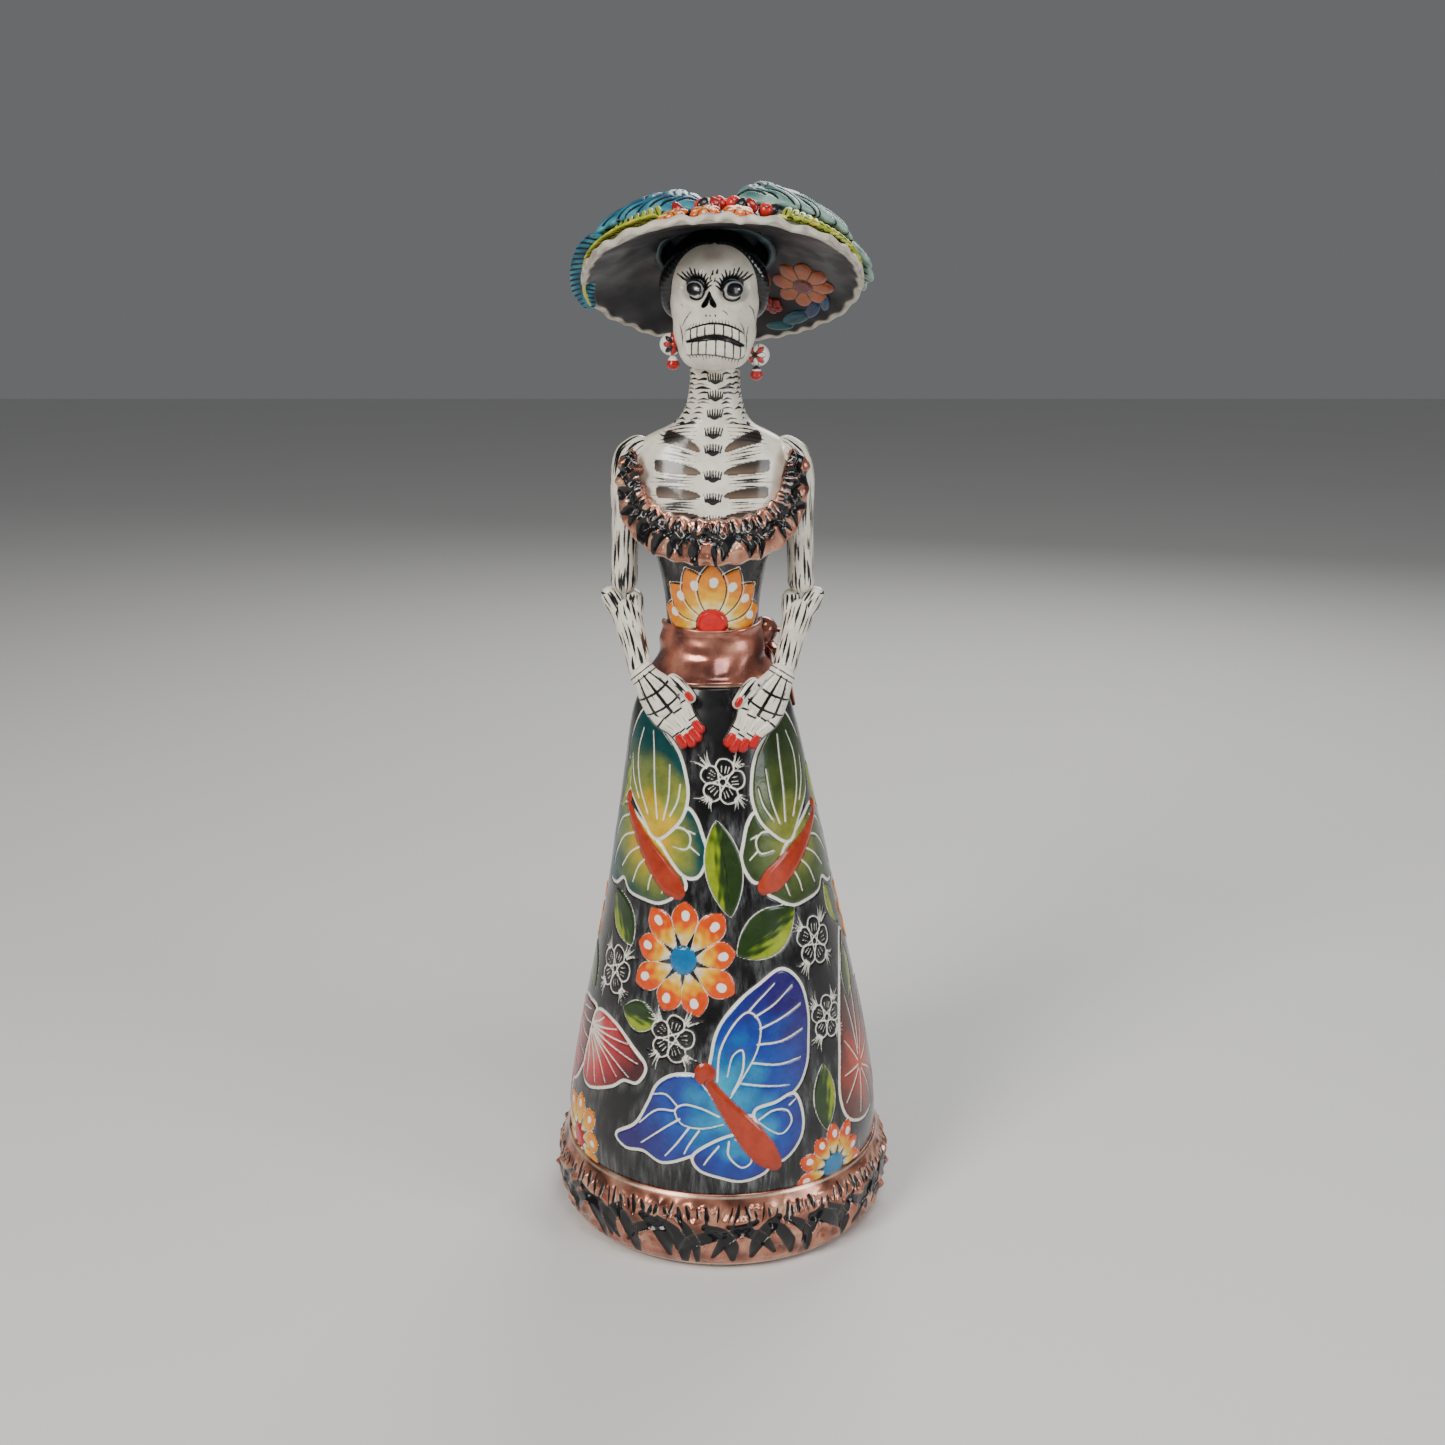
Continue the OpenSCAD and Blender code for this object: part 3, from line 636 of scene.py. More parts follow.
def paint_skirt(coat):
    coat.scumble[:] = 0.28 * waves(coat.radius * coat.across, coat.up, size=26, seed=2)
    blue = ((0.015, 0.34, 0.56), (0.008, 0.055, 0.34), (0.022, 0.012, 0.15))
    lime = ((0.92, 0.50, 0.01), (0.24, 0.27, 0.04), (0.005, 0.060, 0.060))
    olive = ((0.34, 0.35, 0.06), (0.075, 0.11, 0.022), (0.030, 0.052, 0.016))
    pink = ((0.80, 0.50, 0.44), (0.55, 0.035, 0.045), (0.06, 0.006, 0.010))
    rust = ((0.60, 0.045, 0.010), (0.13, 0.025, 0.016), (0.030, 0.016, 0.013))
    open_butterfly(coat.patch(-104, 74, size=0.85, turn=-28), *pink)
    open_butterfly(coat.patch(113, 76, size=0.85, flip=True, turn=20), *rust)
    fan_wing(coat.patch(-49.9, 79),
             [(-14, 16), (0, 16), (13, 9), (20, 3), (17, -4), (10, -5), (3, -10), (-13, -16), (-20, -12),
              (-18, 2)], (-19, 9), pink, 34,
             [(-6, 16), (4, 14), (12, 10), (19, 3), (15, -4), (8, -6), (1, -11), (-7, -14), (-15, -15)])
    fan_wing(coat.patch(68.6, 76.5),
             [(6, 50), (-9, 26), (-17, 3), (-21, -14), (-16, -25), (0, -29), (21, -21), (20, 0), (14, 24)],
             (-2, -6), rust, 36,
             [(5, 47), (-5, 27), (-13, 9), (-17, -6), (-19, -18), (-8, -27), (6, -27), (17, -20), (18, 2),
              (12, 22)])
    side_butterfly(coat.patch(-29.0, 169.0), *lime)
    side_butterfly(coat.patch(35.2, 167.0, flip=True, turn=2), *olive, slant=-15)
    open_butterfly(coat.patch(-4.8, 78.2), *blue)
    side_butterfly(coat.patch(-150, 166, turn=-4), *pink)
    side_butterfly(coat.patch(148, 164, flip=True, turn=6), *blue)
    open_butterfly(coat.patch(176, 76, size=0.95, flip=True), *lime)
    for where, petals, size, disc_r, disc_color, tip, half in (
            ((-17.4, 127.0), 9, 23.0, 5.7, COBALT, ORANGE, 5.5),
            ((43.7, 35.5), 11, 19, 6.0, (0.02, 0.18, 0.38), ORANGE, None),
            ((-66, 38.5), 9, 19, 5.2, RED, AMBER, None), ((100, 130), 9, 17, 5.0, RED, AMBER, None),
            ((-104, 128), 9, 17, 5.0, COBALT, AMBER, None), ((179, 128), 9, 18, 5.2, COBALT, ORANGE, None),
            ((132, 38), 10, 18, 5.4, RED, ORANGE, None), ((-136, 37), 10, 18, 5.4, COBALT, AMBER, None)):
        flower(coat.patch(*where), petals, size, disc_r, disc_color, tip, half)
    for where, turn, length, half in (
            ((2.6, 163.5), -6, 38, 7.4), ((-55.0, 137.5), 140, 25, 7.0), ((22.6, 137.2), 60, 31, 9.0),
            ((-36.5, 101.5), 95, 18, 6.0), ((41.5, 66.5), 3, 27, 6.0), ((71, 139), -20, 20, 5.0),
            ((128, 120), 40, 26, 6.5), ((-132, 122), -44, 26, 6.5),
            ((70, 110), 14, 22, 5.0), ((-78, 110), -40, 22, 5.5), ((152, 98), 70, 20, 5.4),
            ((-150, 96), -66, 20, 5.4), ((-72, 190), 10, 22, 5.0), ((86, 186), -10, 22, 5.0)):
        leaf(coat.patch(*where, turn=-turn), length, half, 1 if turn > 0 else -1)
    for where, size in (((4.6, 197.5), 8.6), ((-20.5, 95.5), 9.0), ((-55.6, 115.5), 9.4),
                        ((48.6, 129.0), 9.4), ((48.4, 97.5), 8.4), ((-112, 196), 6.6), ((112, 196), 6.6)):
        line_flower(coat.patch(*where, reach=24), size)
    halo = step(coat.near, -7.5, -1.0) * (coat.near < 0)
    hem_smoke = step(coat.up, 47, 36)
    coat.scumble += 0.45 * halo + 0.55 * hem_smoke
    coat.scumble[:] = np.clip(coat.scumble, 0, 1) * (coat.near < 0)


def make_skirt():
    columns = 760
    outside = np.concatenate([[0, 8, 16, 24, 30], np.arange(32, SKIRT_TOP + 0.1, 0.55)])
    inside = np.array([229, 215, 186, 140, 110, 80, 50, 20, 0])
    radii = np.concatenate([skirt_radius(outside), skirt_radius(np.minimum(inside + 3, SKIRT_TOP)) - 5.0])
    radii[-1] = 57.6
    heights = np.concatenate([outside, inside])
    rows, a = turned_rows(radii, heights, columns, lean(heights))
    up = np.repeat(heights, columns)
    coat = Coat(np.tile(a, len(heights)), up, SLIP, np.repeat(radii, columns))
    coat.mask = np.repeat(np.arange(len(heights)) < len(outside), columns) & (up > 30)
    paint_skirt(coat)
    bare = ~coat.mask
    coat.color[bare] = (0.42, 0.22, 0.13)
    coat.scumble[bare] = 0
    build("skirt", [Grid(rows, coat, wrap_v=True)], SKIRT_GLAZE, "figure", ["skirt_shell"])


def ruffle_marks(coat, length, low, high, seed, gathers=3.4):
    """Copper glaze with black gouges: short gathers under the upper edge and long curled leaves
    below them. Across is in mm along the ruffle, and up runs from low to high."""
    rng = np.random.default_rng(seed)
    tall = high - low
    x, way = 0.0, 1
    while x < length:
        middle = low + tall * rng.uniform(0.34, 0.44)
        p = coat.patch(x, middle, reach=tall * 1.2, turn=way * rng.uniform(18, 66))
        half = tall * rng.uniform(0.27, 0.40)
        bend = way * rng.uniform(1.2, 3.2)
        w = rng.uniform(0.055, 0.095) * tall
        gouge = p.limb([(0, half), (bend, half * 0.35), (bend * 0.9, -half * 0.35), (-bend * 0.5, -half)],
                       [w * 0.55, w * 1.15, w * 1.2, w * 0.45])
        p.mark("dark", gouge)
        coat.relief[p.ids] -= 1.0 * step(gouge, -1.0, 1.2)
        p.line("pale", [(bend + w * 1.1, half * 0.3), (bend + w * 1.2, -half * 0.3)], 0.1, 0.22, 0.08)
        x += tall * rng.uniform(0.16, 0.25)
        way = -way if rng.random() < 0.75 else way
    top = high - tall * 0.20
    x = 0.0
    while x < length:
        p = coat.patch(x, top + rng.uniform(-0.05, 0.03) * tall, reach=tall, turn=rng.uniform(-16, 16))
        drop = rng.uniform(0.10, 0.26) * tall
        w = rng.uniform(0.45, 1.3)
        gouge = p.limb([(0, drop * 0.6), (w * 0.3, 0), (0, -drop * 0.6)], [w * 0.5, w, w * 0.4])
        p.mark("dark", gouge)
        coat.relief[p.ids] -= 0.6 * step(gouge, -0.6, 0.6)
        if rng.random() < 0.55:
            p.line("pale", [(w + 0.5, drop * 0.5), (w + 0.3, 0), (w + 0.8, -drop * 0.5)], 0.16, 0.3, 0.1)
        x += gathers * rng.uniform(0.6, 1.5)
    across = coat.across * (1 if coat.radius is None else coat.radius)
    tone = waves(across, coat.up, size=15, seed=seed)
    coat.color[:] = lerp(COPPER, (0.68, 0.36, 0.24), np.clip(tone, 0, 1))
    coat.color *= (1 - 0.7 * np.clip(-tone, 0, 1))[:, None]
    coat.metal[:] = 1
    lumps = 0.9 * waves(across, coat.up, size=9, seed=seed + 1)
    coat.relief += lumps * step(coat.dark, 0.3, -1.5)
    coat.relief *= step(coat.up, high, high - tall * 0.2) * step(coat.up, low, low + tall * 0.2)


HEM_LINE = [(59.5, 1.3), (63, 1.2), (66.2, 1.4), (68.6, 3.4), (71.2, 9), (72.6, 15), (72.3, 21),
            (70.6, 28), (68.6, 32.5), (67.4, 34.6), (66.6, 35.2), (65, 34.4)]
HEM_R = 70.0                    # radius that turns an angle on the hem into mm


def make_hem():
    columns = 900
    line = curve(HEM_LINE, steps=9)
    rows, a = turned_rows(line[:, 0], line[:, 1], columns, lean(line[:, 1]) * 0.5)
    near_top = step(line[:, 1], 20, 34)[:, None]
    rows[..., 2] += (-1.4 + 0.6 * np.cos(2 * a)) * near_top - np.cos(a) * near_top
    coat = Coat(np.tile(a, len(line)) * HEM_R + HEM_R * math.pi, np.repeat(line[:, 1], columns), COPPER)
    coat.mask = np.repeat(line[:, 0] > 65.5, columns)
    ruffle_marks(coat, 2 * HEM_R * math.pi, 2.5, 33.5, seed=8)
    edge = np.maximum(0.6 - np.abs(coat.up - 34.2), 1.0 - np.abs(coat.up - 2.4))
    coat.tint((0.80, 0.62, 0.47), step(edge, 0.0, 0.5) * 0.85)
    coat.dark = np.where(edge > 0, -FAR, coat.dark)
    hidden = np.repeat(line[:, 0] < 65.0, columns)
    coat.dark[hidden] = -FAR
    coat.relief[hidden] = 0
    build("hem_ruffle_piece", [Grid(rows, coat, wrap_v=True)], COPPER_GLAZE, "figure", ["hem_ruffle"])


# ---------------------------------------------------------------- shapes that several pieces share

def resample(line, spacing):
    """Evenly spaced points along a polyline in 3-D, and how far along it each one is."""
    away = np.concatenate([[0], np.cumsum(np.linalg.norm(np.diff(line, axis=0), axis=1))])
    s = np.linspace(0, away[-1], max(4, int(away[-1] / spacing) + 1))
    return np.stack([np.interp(s, away, line[:, k]) for k in range(line.shape[1])], 1), s


def tube(points, radii, base, columns=56, spacing=0.4, side=(1, 0, 0), ends=(1.0, 1.0), depth=None):
    """A limb along a smooth path, with rounded ends. radii gives the half width along side and
    depth the half thickness. Angle 0 of a limb that hangs down faces -Y."""
    path, s = resample(curve(points), spacing)
    along = s / s[-1]
    knots = np.linspace(0, 1, len(radii))
    ra = np.interp(along, knots, radii)
    rb = ra if depth is None else np.interp(along, np.linspace(0, 1, len(depth)), depth)
    for reach, gone in ((ends[0] * ra[0], s), (ends[1] * ra[-1], s[-1] - s)):
        if reach > 0:
            cap = np.sqrt(np.clip(1 - (1 - np.clip(gone / reach, 0, 1)) ** 2, 0.0004, 1))
            ra, rb = ra * cap, rb * cap
    t = np.gradient(path, axis=0)
    t /= np.linalg.norm(t, axis=1, keepdims=True)
    across = np.asarray(side, float) - (t @ np.asarray(side, float))[:, None] * t
    across /= np.linalg.norm(across, axis=1, keepdims=True)
    out = np.cross(t, across)
    a = around(columns)
    rows = (path[:, None] + across[:, None] * (ra[:, None] * np.sin(a))[..., None]
            + out[:, None] * (rb[:, None] * np.cos(a))[..., None])
    coat = Coat(np.tile(a, len(path)), np.repeat(s, columns), base,
                np.repeat(np.maximum((ra + rb) / 2, 1.0), columns))
    return Grid(rows, coat)


def rings(line, columns, spacing, base, center):
    """A stack of level ovals: line holds (height, half width, half depth, middle's y) and center
    gives the middle's x at a height."""
    fine = curve(line, steps=24)
    z = np.arange(fine[0, 0], fine[-1, 0], spacing)
    hw, hd, y = (np.interp(z, fine[:, 0], fine[:, k]) for k in (1, 2, 3))
    a = around(columns)
    rows = np.stack([center(z)[:, None] + hw[:, None] * np.sin(a),
                     y[:, None] - hd[:, None] * np.cos(a), z[:, None] + 0 * a], -1)
    return Grid(rows, Coat(np.tile(a, len(z)), np.repeat(z, columns), base, np.repeat(hw, columns)))


def stroke_bone(coat, low, high, seed, gap):
    """Long black brush strokes along a bone, broken here and there."""
    rng = np.random.default_rng(seed)
    radius = float(np.median(coat.radius))
    for a in np.arange(-180, 180, math.degrees(gap / radius)):
        y = low + rng.uniform(0, 5)
        while y < high - 3:
            reach = min(rng.uniform(7, 20), high - y)
            p = coat.patch(a + rng.uniform(-6, 6), y + reach / 2, reach=reach / 2 + 4)
            w = 0.5 * rng.uniform(0.55, 1.5)
            bend = rng.uniform(-1.2, 1.2) * 0.5
            p.line("dark", [(0, -reach / 2), (bend, 0), (bend * 0.3, reach / 2)], w * 0.3, w, w * 0.2)
            y += reach + rng.uniform(1.0, 7.0)


def bone_color(coat, seed):
    """Uneven cream over the whole piece, a little greyer in places."""
    across = coat.across if coat.radius is None else coat.across * coat.radius
    t = waves(across, coat.up, size=14, seed=seed)
    coat.color[:] = lerp(BONE, (0.66, 0.60, 0.50), np.clip(t, 0, 1) * 0.5)


# ---------------------------------------------------------------- bodice, sash and ruffle

BODICE_LINE = [(234.0, 24.0, 24.0, 0), (239, 21, 20, 0), (249, 19, 16, 0), (255, 18.5, 15, 0),
               (268, 19.7, 16, 0), (281, 22.7, 18.5, -1), (292, 28, 20.5, -1.5), (300, 30.4, 20.4, -1.4)]
CHEST_LINE = [(294, 29.4, 20.0, -1.5), (300, 30.6, 20.1, -1.3), (307, 31.4, 19, -0.6), (314, 31.6, 17.4, 0),
              (320, 31.2, 15.8, 0.8), (324.5, 30.2, 14.6, 1.2), (328, 27.4, 13.6, 1.6),
              (330.8, 22.6, 12.8, 1.8), (333.2, 17.4, 12.0, 1.8), (336, 14.0, 11.3, 1.7),
              (339.5, 12.0, 10.7, 1.4), (343.5, 10.8, 10.2, 1.2), (349, 10.0, 9.8, 0.8),
              (358, 9.7, 9.6, 0.5), (364, 9.6, 9.5, 0.5)]


def make_bodice():
    grid = rings(BODICE_LINE, 440, 0.45, SLIP, lambda z: BODY_X + 0 * z)
    coat = grid.coat
    coat.scumble[:] = np.clip(0.25 + 0.5 * waves(coat.across * 22, coat.up, size=18, seed=41), 0, 1)
    p = coat.patch(-0.5, 256.3, reach=34)
    for angle in (-78, 78, -52, 52, -26, 26, 0):
        q = p.turned(angle)
        inside = q.petal(1.5, 24.8, 5.6, blunt=0.85)
        t = (q.y - 5) / 18 + 0.08 * waves(q.x, q.y, size=5, seed=150 + angle)
        q.fill(inside, ramp(t * 1.15, (0.93, 0.84, 0.50), YELLOW, AMBER, (0.86, 0.22, 0.004)), lift=0.5)
        q.rim("dark", inside + 0.1, 0.5)
        q.rim("pale", inside - 0.35 + 1.3, 0.45)
        q.line("white", [(0.6, 16.6), (0.8, 17.6)], 1.5, 1.75)
    inside = p.spot(6.3)
    p.fill(inside, (0.62, 0.008, 0.008), lift=0.9, soft=2.0)
    p.rim("dark", inside, 0.4)
    coat.scumble[:] = coat.scumble * (coat.near < 0)
    build("bodice", [grid], BODICE_GLAZE, "figure", ["bodice_shell"])


SASH_LINE = [(232.9, 25.6, 25.5), (232.7, 26.6, 26.4), (233.4, 27.2, 27.0), (234.6, 26.9, 26.6),
             (236.5, 25.0, 24.2), (240.5, 22.7, 21.5), (245, 21.4, 19.0), (249, 20.9, 17.9),
             (252.5, 20.4, 17.0), (254.6, 20.6, 17.0), (255.3, 19.8, 16.3), (254.8, 18.2, 14.8)]


def make_sash():
    line = curve(SASH_LINE, steps=8)
    columns = 400
    a = around(columns)
    z, hw, hd = line[:, 0][:, None], line[:, 1][:, None], line[:, 2][:, None]
    dip = 1.4 * np.exp(-(a / 0.8) ** 2) * step(z, 236, 255)
    fold = 0.55 * waves(a * 20 + 0 * z, z * 2.2 + 8 * np.sin(a), size=26, seed=60)
    x = BODY_X + (hw + fold) * np.sin(a)
    y = -(hd + fold) * np.cos(a)
    rows = np.stack([x, y, z - dip], -1)
    coat = Coat(np.tile(a, len(line)), np.repeat(line[:, 0], columns), COPPER, np.repeat(line[:, 1], columns))
    tone = waves(coat.across * 21, coat.up * 0.8, size=15, seed=61)
    coat.color[:] = lerp((0.46, 0.17, 0.12), (0.11, 0.04, 0.035), np.clip(tone, 0, 1) * 0.8)
    coat.tint((0.66, 0.30, 0.20), np.clip(-tone - 0.4, 0, 1) * 0.6)
    edge = 0.7 - np.abs(coat.up - 233.2)
    coat.tint((0.80, 0.66, 0.50), step(edge, 0, 0.5) * 0.9)
    coat.metal[:] = 1
    build("sash", [Grid(rows, coat)], COPPER_GLAZE, "figure", ["sash_band"])


def copper_tube(*args, seed=0, **kw):
    grid = tube(*args, COPPER, **kw)
    tone = waves(grid.coat.across * grid.coat.radius, grid.coat.up, size=9, seed=seed)
    grid.coat.color[:] = lerp((0.50, 0.19, 0.13), (0.12, 0.04, 0.035), np.clip(tone, 0, 1))
    grid.coat.metal[:] = 1
    return grid


def make_bow():
    """A knot at the side of the waist, two folded loops and two tails with slanted ends."""
    k = np.array([BODY_X + 18.5, 16.0, 248.0])
    knot = copper_tube([k + (0.5, -5.6, 5.6), k + (2.6, -3.4, 0.8), k + (4.0, -0.6, -4.8)], [4.2, 5.8, 4.4],
                       side=(1, -1, 0), seed=70)
    build("knot", [knot], COPPER_GLAZE, "figure", ["sash_knot"])
    turn = math.radians(-40)
    way, out = np.array([math.cos(turn), math.sin(turn), 0]), np.array([math.sin(-turn), math.cos(turn), 0])
    loops = []
    for side in (-1, 1):
        m = k + (1.0, 5.6, -4.0) + way * side * 11.0
        ring = [m + way * side * 6.2 * math.cos(b) + np.array([0, 0, 1]) * (4.2 * math.sin(b) + 0.2)
                + out * 0.6 * math.cos(2 * b) for b in np.linspace(math.pi, 3 * math.pi, 13)]
        loops.append(copper_tube(ring, [2.2, 3.0, 3.2, 3.0, 2.2], depth=[0.9, 1.0, 0.9], side=tuple(out),
                                 seed=72 + side))
    build("bow_loops", loops, COPPER_GLAZE, "figure", ["sash_bow_loops"])
    tails = []
    for side in (-1, 1):
        start = k + (5.2 + side, 5.6 - side, -6.6)
        end = np.array([BODY_X + 26 + 6.2 * side, 26.5 - 5.4 * side, 213.5])
        middle = (start + end) / 2 + (1.4, 1.4, 1.0)
        tails.append(copper_tube([start, middle, end], [2.0, 2.8, 3.4, 4.2], depth=[1.3, 1.3, 1.2, 1.1],
                                 side=(1, -1, 0), ends=(1.0, 0.3), seed=75 + side))
    build("tails", tails, COPPER_GLAZE, "figure", ["sash_tails"])


FRONT_RUFFLE = [(-31.0, -8.5, 324.5, 2.4), (-32.6, -9.5, 320.0, 5.2), (-32.4, -10.5, 311.0, 7.0),
                (-29.0, -13.0, 301.0, 8.2), (-21.0, -18.2, 293.8, 8.8), (-10.5, -21.8, 290.8, 9.0),
                (0.0, -22.8, 290.0, 9.2), (10.5, -21.8, 290.8, 9.0), (21.0, -18.2, 293.8, 8.8),
                (29.0, -13.0, 301.0, 8.2), (32.4, -10.5, 311.0, 7.0), (32.8, -9.5, 320.0, 5.4),
                (31.4, -8.5, 325.0, 2.4)]
BACK_RUFFLE = [(30.0, 9.0, 319.0, 2.0), (28.0, 13.5, 312.0, 6.0), (20.0, 17.5, 306.5, 7.2),
               (0.0, 20.6, 304.0, 7.6), (-20.0, 17.5, 306.5, 7.2), (-28.0, 13.5, 312.0, 6.0),
               (-30.0, 9.0, 319.0, 2.0)]


def ruffle_band(line, seed):
    """A puffed band along a line of (x from the body's middle, y, height, half width)."""
    path, s = resample(curve(line, steps=22), 0.42)
    half, path = path[:, 3], path[:, :3] + (BODY_X, 0, 0)
    t = np.gradient(path, axis=0)
    t /= np.linalg.norm(t, axis=1, keepdims=True)
    out = (path - (BODY_X, 0, 0)) * (0.55, 1, 0) + np.stack([0 * s, 8 * np.sign(path[:, 1]), 2 + 0 * s], 1)
    out -= (out * t).sum(1)[:, None] * t
    out /= np.linalg.norm(out, axis=1, keepdims=True)
    wide = np.cross(t, out)
    columns = 96
    a = around(columns)
    gone = np.minimum(s, s[-1] - s)
    round_end = np.sqrt(np.clip(1 - (1 - np.clip(gone / 4.5, 0, 1)) ** 2, 0.003, 1))
    puff = (3.3 + 0.5 * waves(s, size=13, seed=seed)) * np.clip(half / 6, 0.5, 1) * round_end
    frill = (1 + 0.05 * np.sin(s * 2 * math.pi / 7.5)) * round_end
    rows = (path[:, None] + wide[:, None] * ((half * frill)[:, None] * np.sin(a))[..., None]
            + out[:, None] * (puff[:, None] * np.cos(a))[..., None])
    coat = Coat(np.repeat(s, columns), (half[:, None] * np.sin(a)).ravel(), COPPER)
    coat.mask = np.tile(np.cos(a) > -0.35, len(s))
    return Grid(rows, coat), s[-1], half.max()


def make_ruffle():
    grids = []
    for line, seed in ((FRONT_RUFFLE, 80), (BACK_RUFFLE, 90)):
        grid, length, half = ruffle_band(line, seed)
        coat, middle = grid.coat, grid.rows[len(grid.rows) // 2]
        if middle[72, 2] < middle[24, 2]:
            coat.up *= -1
        ruffle_marks(coat, length, -half, half, seed, gathers=2.6)
        rng = np.random.default_rng(seed)
        x = 3.0
        while x < length - 3:
            p = coat.patch(x, half * rng.uniform(0.15, 0.5), reach=8, turn=rng.uniform(-50, 50))
            r = rng.uniform(0.7, 1.4)
            if rng.random() < 0.5:
                p.line("white", [(-r, r * 1.2), (-r * 0.8, -r), (r * 0.8, -r), (r, r * 1.1)],
                       0.08, 0.17, 0.08)
            blob = coat.patch(x + 1.5, half * rng.uniform(-0.1, 0.5), reach=8, turn=rng.uniform(-60, 60))
            blob.line("dark", [(0, -2.6), (0.5, 0), (0, 2.4)], 0.6, rng.uniform(1.2, 2.2), 0.8)
            x += rng.uniform(2.2, 4.2)
        edge = 0.5 - np.abs(np.abs(coat.up) - half + 0.7)
        coat.tint((0.70, 0.56, 0.44), step(edge, 0.0, 0.4) * 0.8)
        grids.append(grid)
    build("neckline", grids, COPPER_GLAZE, "figure", ["neckline_ruffle"])


# ---------------------------------------------------------------- chest, arms and hands

def make_chest():
    grid = rings(CHEST_LINE, 420, 0.38, BONE, lambda z: BODY_X + step(z, 325, 345))
    coat = grid.coat
    bone_color(coat, 100)
    rng = np.random.default_rng(101)
    gaps = ((326.2, 20.5, 4.6, 3.4), (317.0, 24.0, 4.6, 1.6), (308.0, 23.0, 4.2, 0.6),
            (299.6, 19.0, 3.6, 0.0))
    front = coat.patch(0, 315, reach=40)
    back = coat.patch(180, 315, reach=40)
    for p in (front, back):
        for side in (-1, 1):
            for y in np.arange(-19, 13.5, 1.15):
                a, b = rng.uniform(4.5, 9), rng.uniform(17, 29)
                rise = max(0.0, (y + 4) * 0.12)
                w = rng.uniform(0.2, 0.5)
                p.line("dark", [(side * a, y), (side * (a + b) / 2, y + rise + rng.uniform(-0.3, 0.5)),
                                (side * b, y + rise * 1.8 + rng.uniform(-0.5, 0.5))], w * 0.3, w, w * 0.15)
            for z, far, tall, rise in gaps:
                y = z - 315
                mid, half = side * (far * 0.6), tall / 2
                inside = p.shape([(side * 5.2, y - rise * 0.4 - 1.0), (side * 6, y - rise * 0.2 + 0.9),
                                  (mid, y + rise * 0.5 + half), (side * far, y + rise + half),
                                  (side * (far + 1.2), y + rise), (side * far, y + rise - half),
                                  (mid, y + rise * 0.5 - half)])
                shade = (p.y - y) / tall + 0.5
                p.fill(inside, ramp(shade, (0.24, 0.16, 0.10), (0.105, 0.070, 0.048), (0.022, 0.015, 0.011)))
                p.lift(-0.6 * step(inside, -0.6, 1.2))
                p.tint((0.05, 0.04, 0.035), step(inside, 0.9, 0.2) * (inside > 0) * 0.8)
        for z in (331, 324.6, 314.8, 306.4, 298.2):
            bone_knob(p, 0.3, z - 315, 3.9, 5.2)
    for side in (-1, 1):
        for k in range(5):
            p = coat.patch(0, 331, reach=34)
            x0, z0 = side * (5 + 0.6 * k), 3.6 - 1.5 * k
            p.line("dark", [(x0, z0), (x0 + side * 8, z0 - 0.6), (x0 + side * 17, z0 - 2.2)], 0.1, 0.3, 0.1)
    for z in np.arange(334.5, 362, 1.9):
        for angle in range(-180, 180, 30):
            if abs(angle) < 15:
                continue
            p = coat.patch(angle + rng.uniform(-8, 8), z + rng.uniform(-0.4, 0.4), reach=7)
            half, w = rng.uniform(1.6, 3.8), rng.uniform(0.3, 0.62)
            p.line("dark", [(-half, -0.5), (0, 0.2), (half, -0.3)], w * 0.3, w, w * 0.3)
    for z in (338, 345, 351.5, 358):
        bone_knob(coat.patch(0, z, reach=8), 0.3, 0, 3.4, 4.6)
    armhole = step(np.abs(np.sin(coat.across)), 0.90, 0.94) * step(coat.up, 320, 317)
    coat.tint(SLIP, armhole)
    build("chest", [grid], BONE_GLAZE, "figure", ["ribcage", "neck"])


def bone_knob(p, x, y, half, tall):
    """A vertebra or a knob of the breastbone, shaded below with a comb of short strokes."""
    inside = p.shape([(x - half, y), (x - half * 0.7, y + tall * 0.45), (x, y + tall * 0.55),
                      (x + half * 0.7, y + tall * 0.45), (x + half, y), (x + half * 0.6, y - tall * 0.45),
                      (x, y - tall * 0.5), (x - half * 0.6, y - tall * 0.45)])
    p.fill(inside, BONE, lift=1.0, soft=2.2)
    low = p.limb([(x - half * 0.5, y - tall * 0.18), (x, y - tall * 0.3), (x + half * 0.5, y - tall * 0.18)],
                 [0.5, 0.8, 0.5])
    p.mark("dark", low)
    for k in range(-3, 4):
        dx = k * half * 0.24
        top = y + tall * (0.46 - 0.04 * abs(k))
        p.line("dark", [(x + dx, y - tall * 0.2), (x + dx * 1.25, top)], 0.40, 0.26)


SHOULDER_Z = 314.0


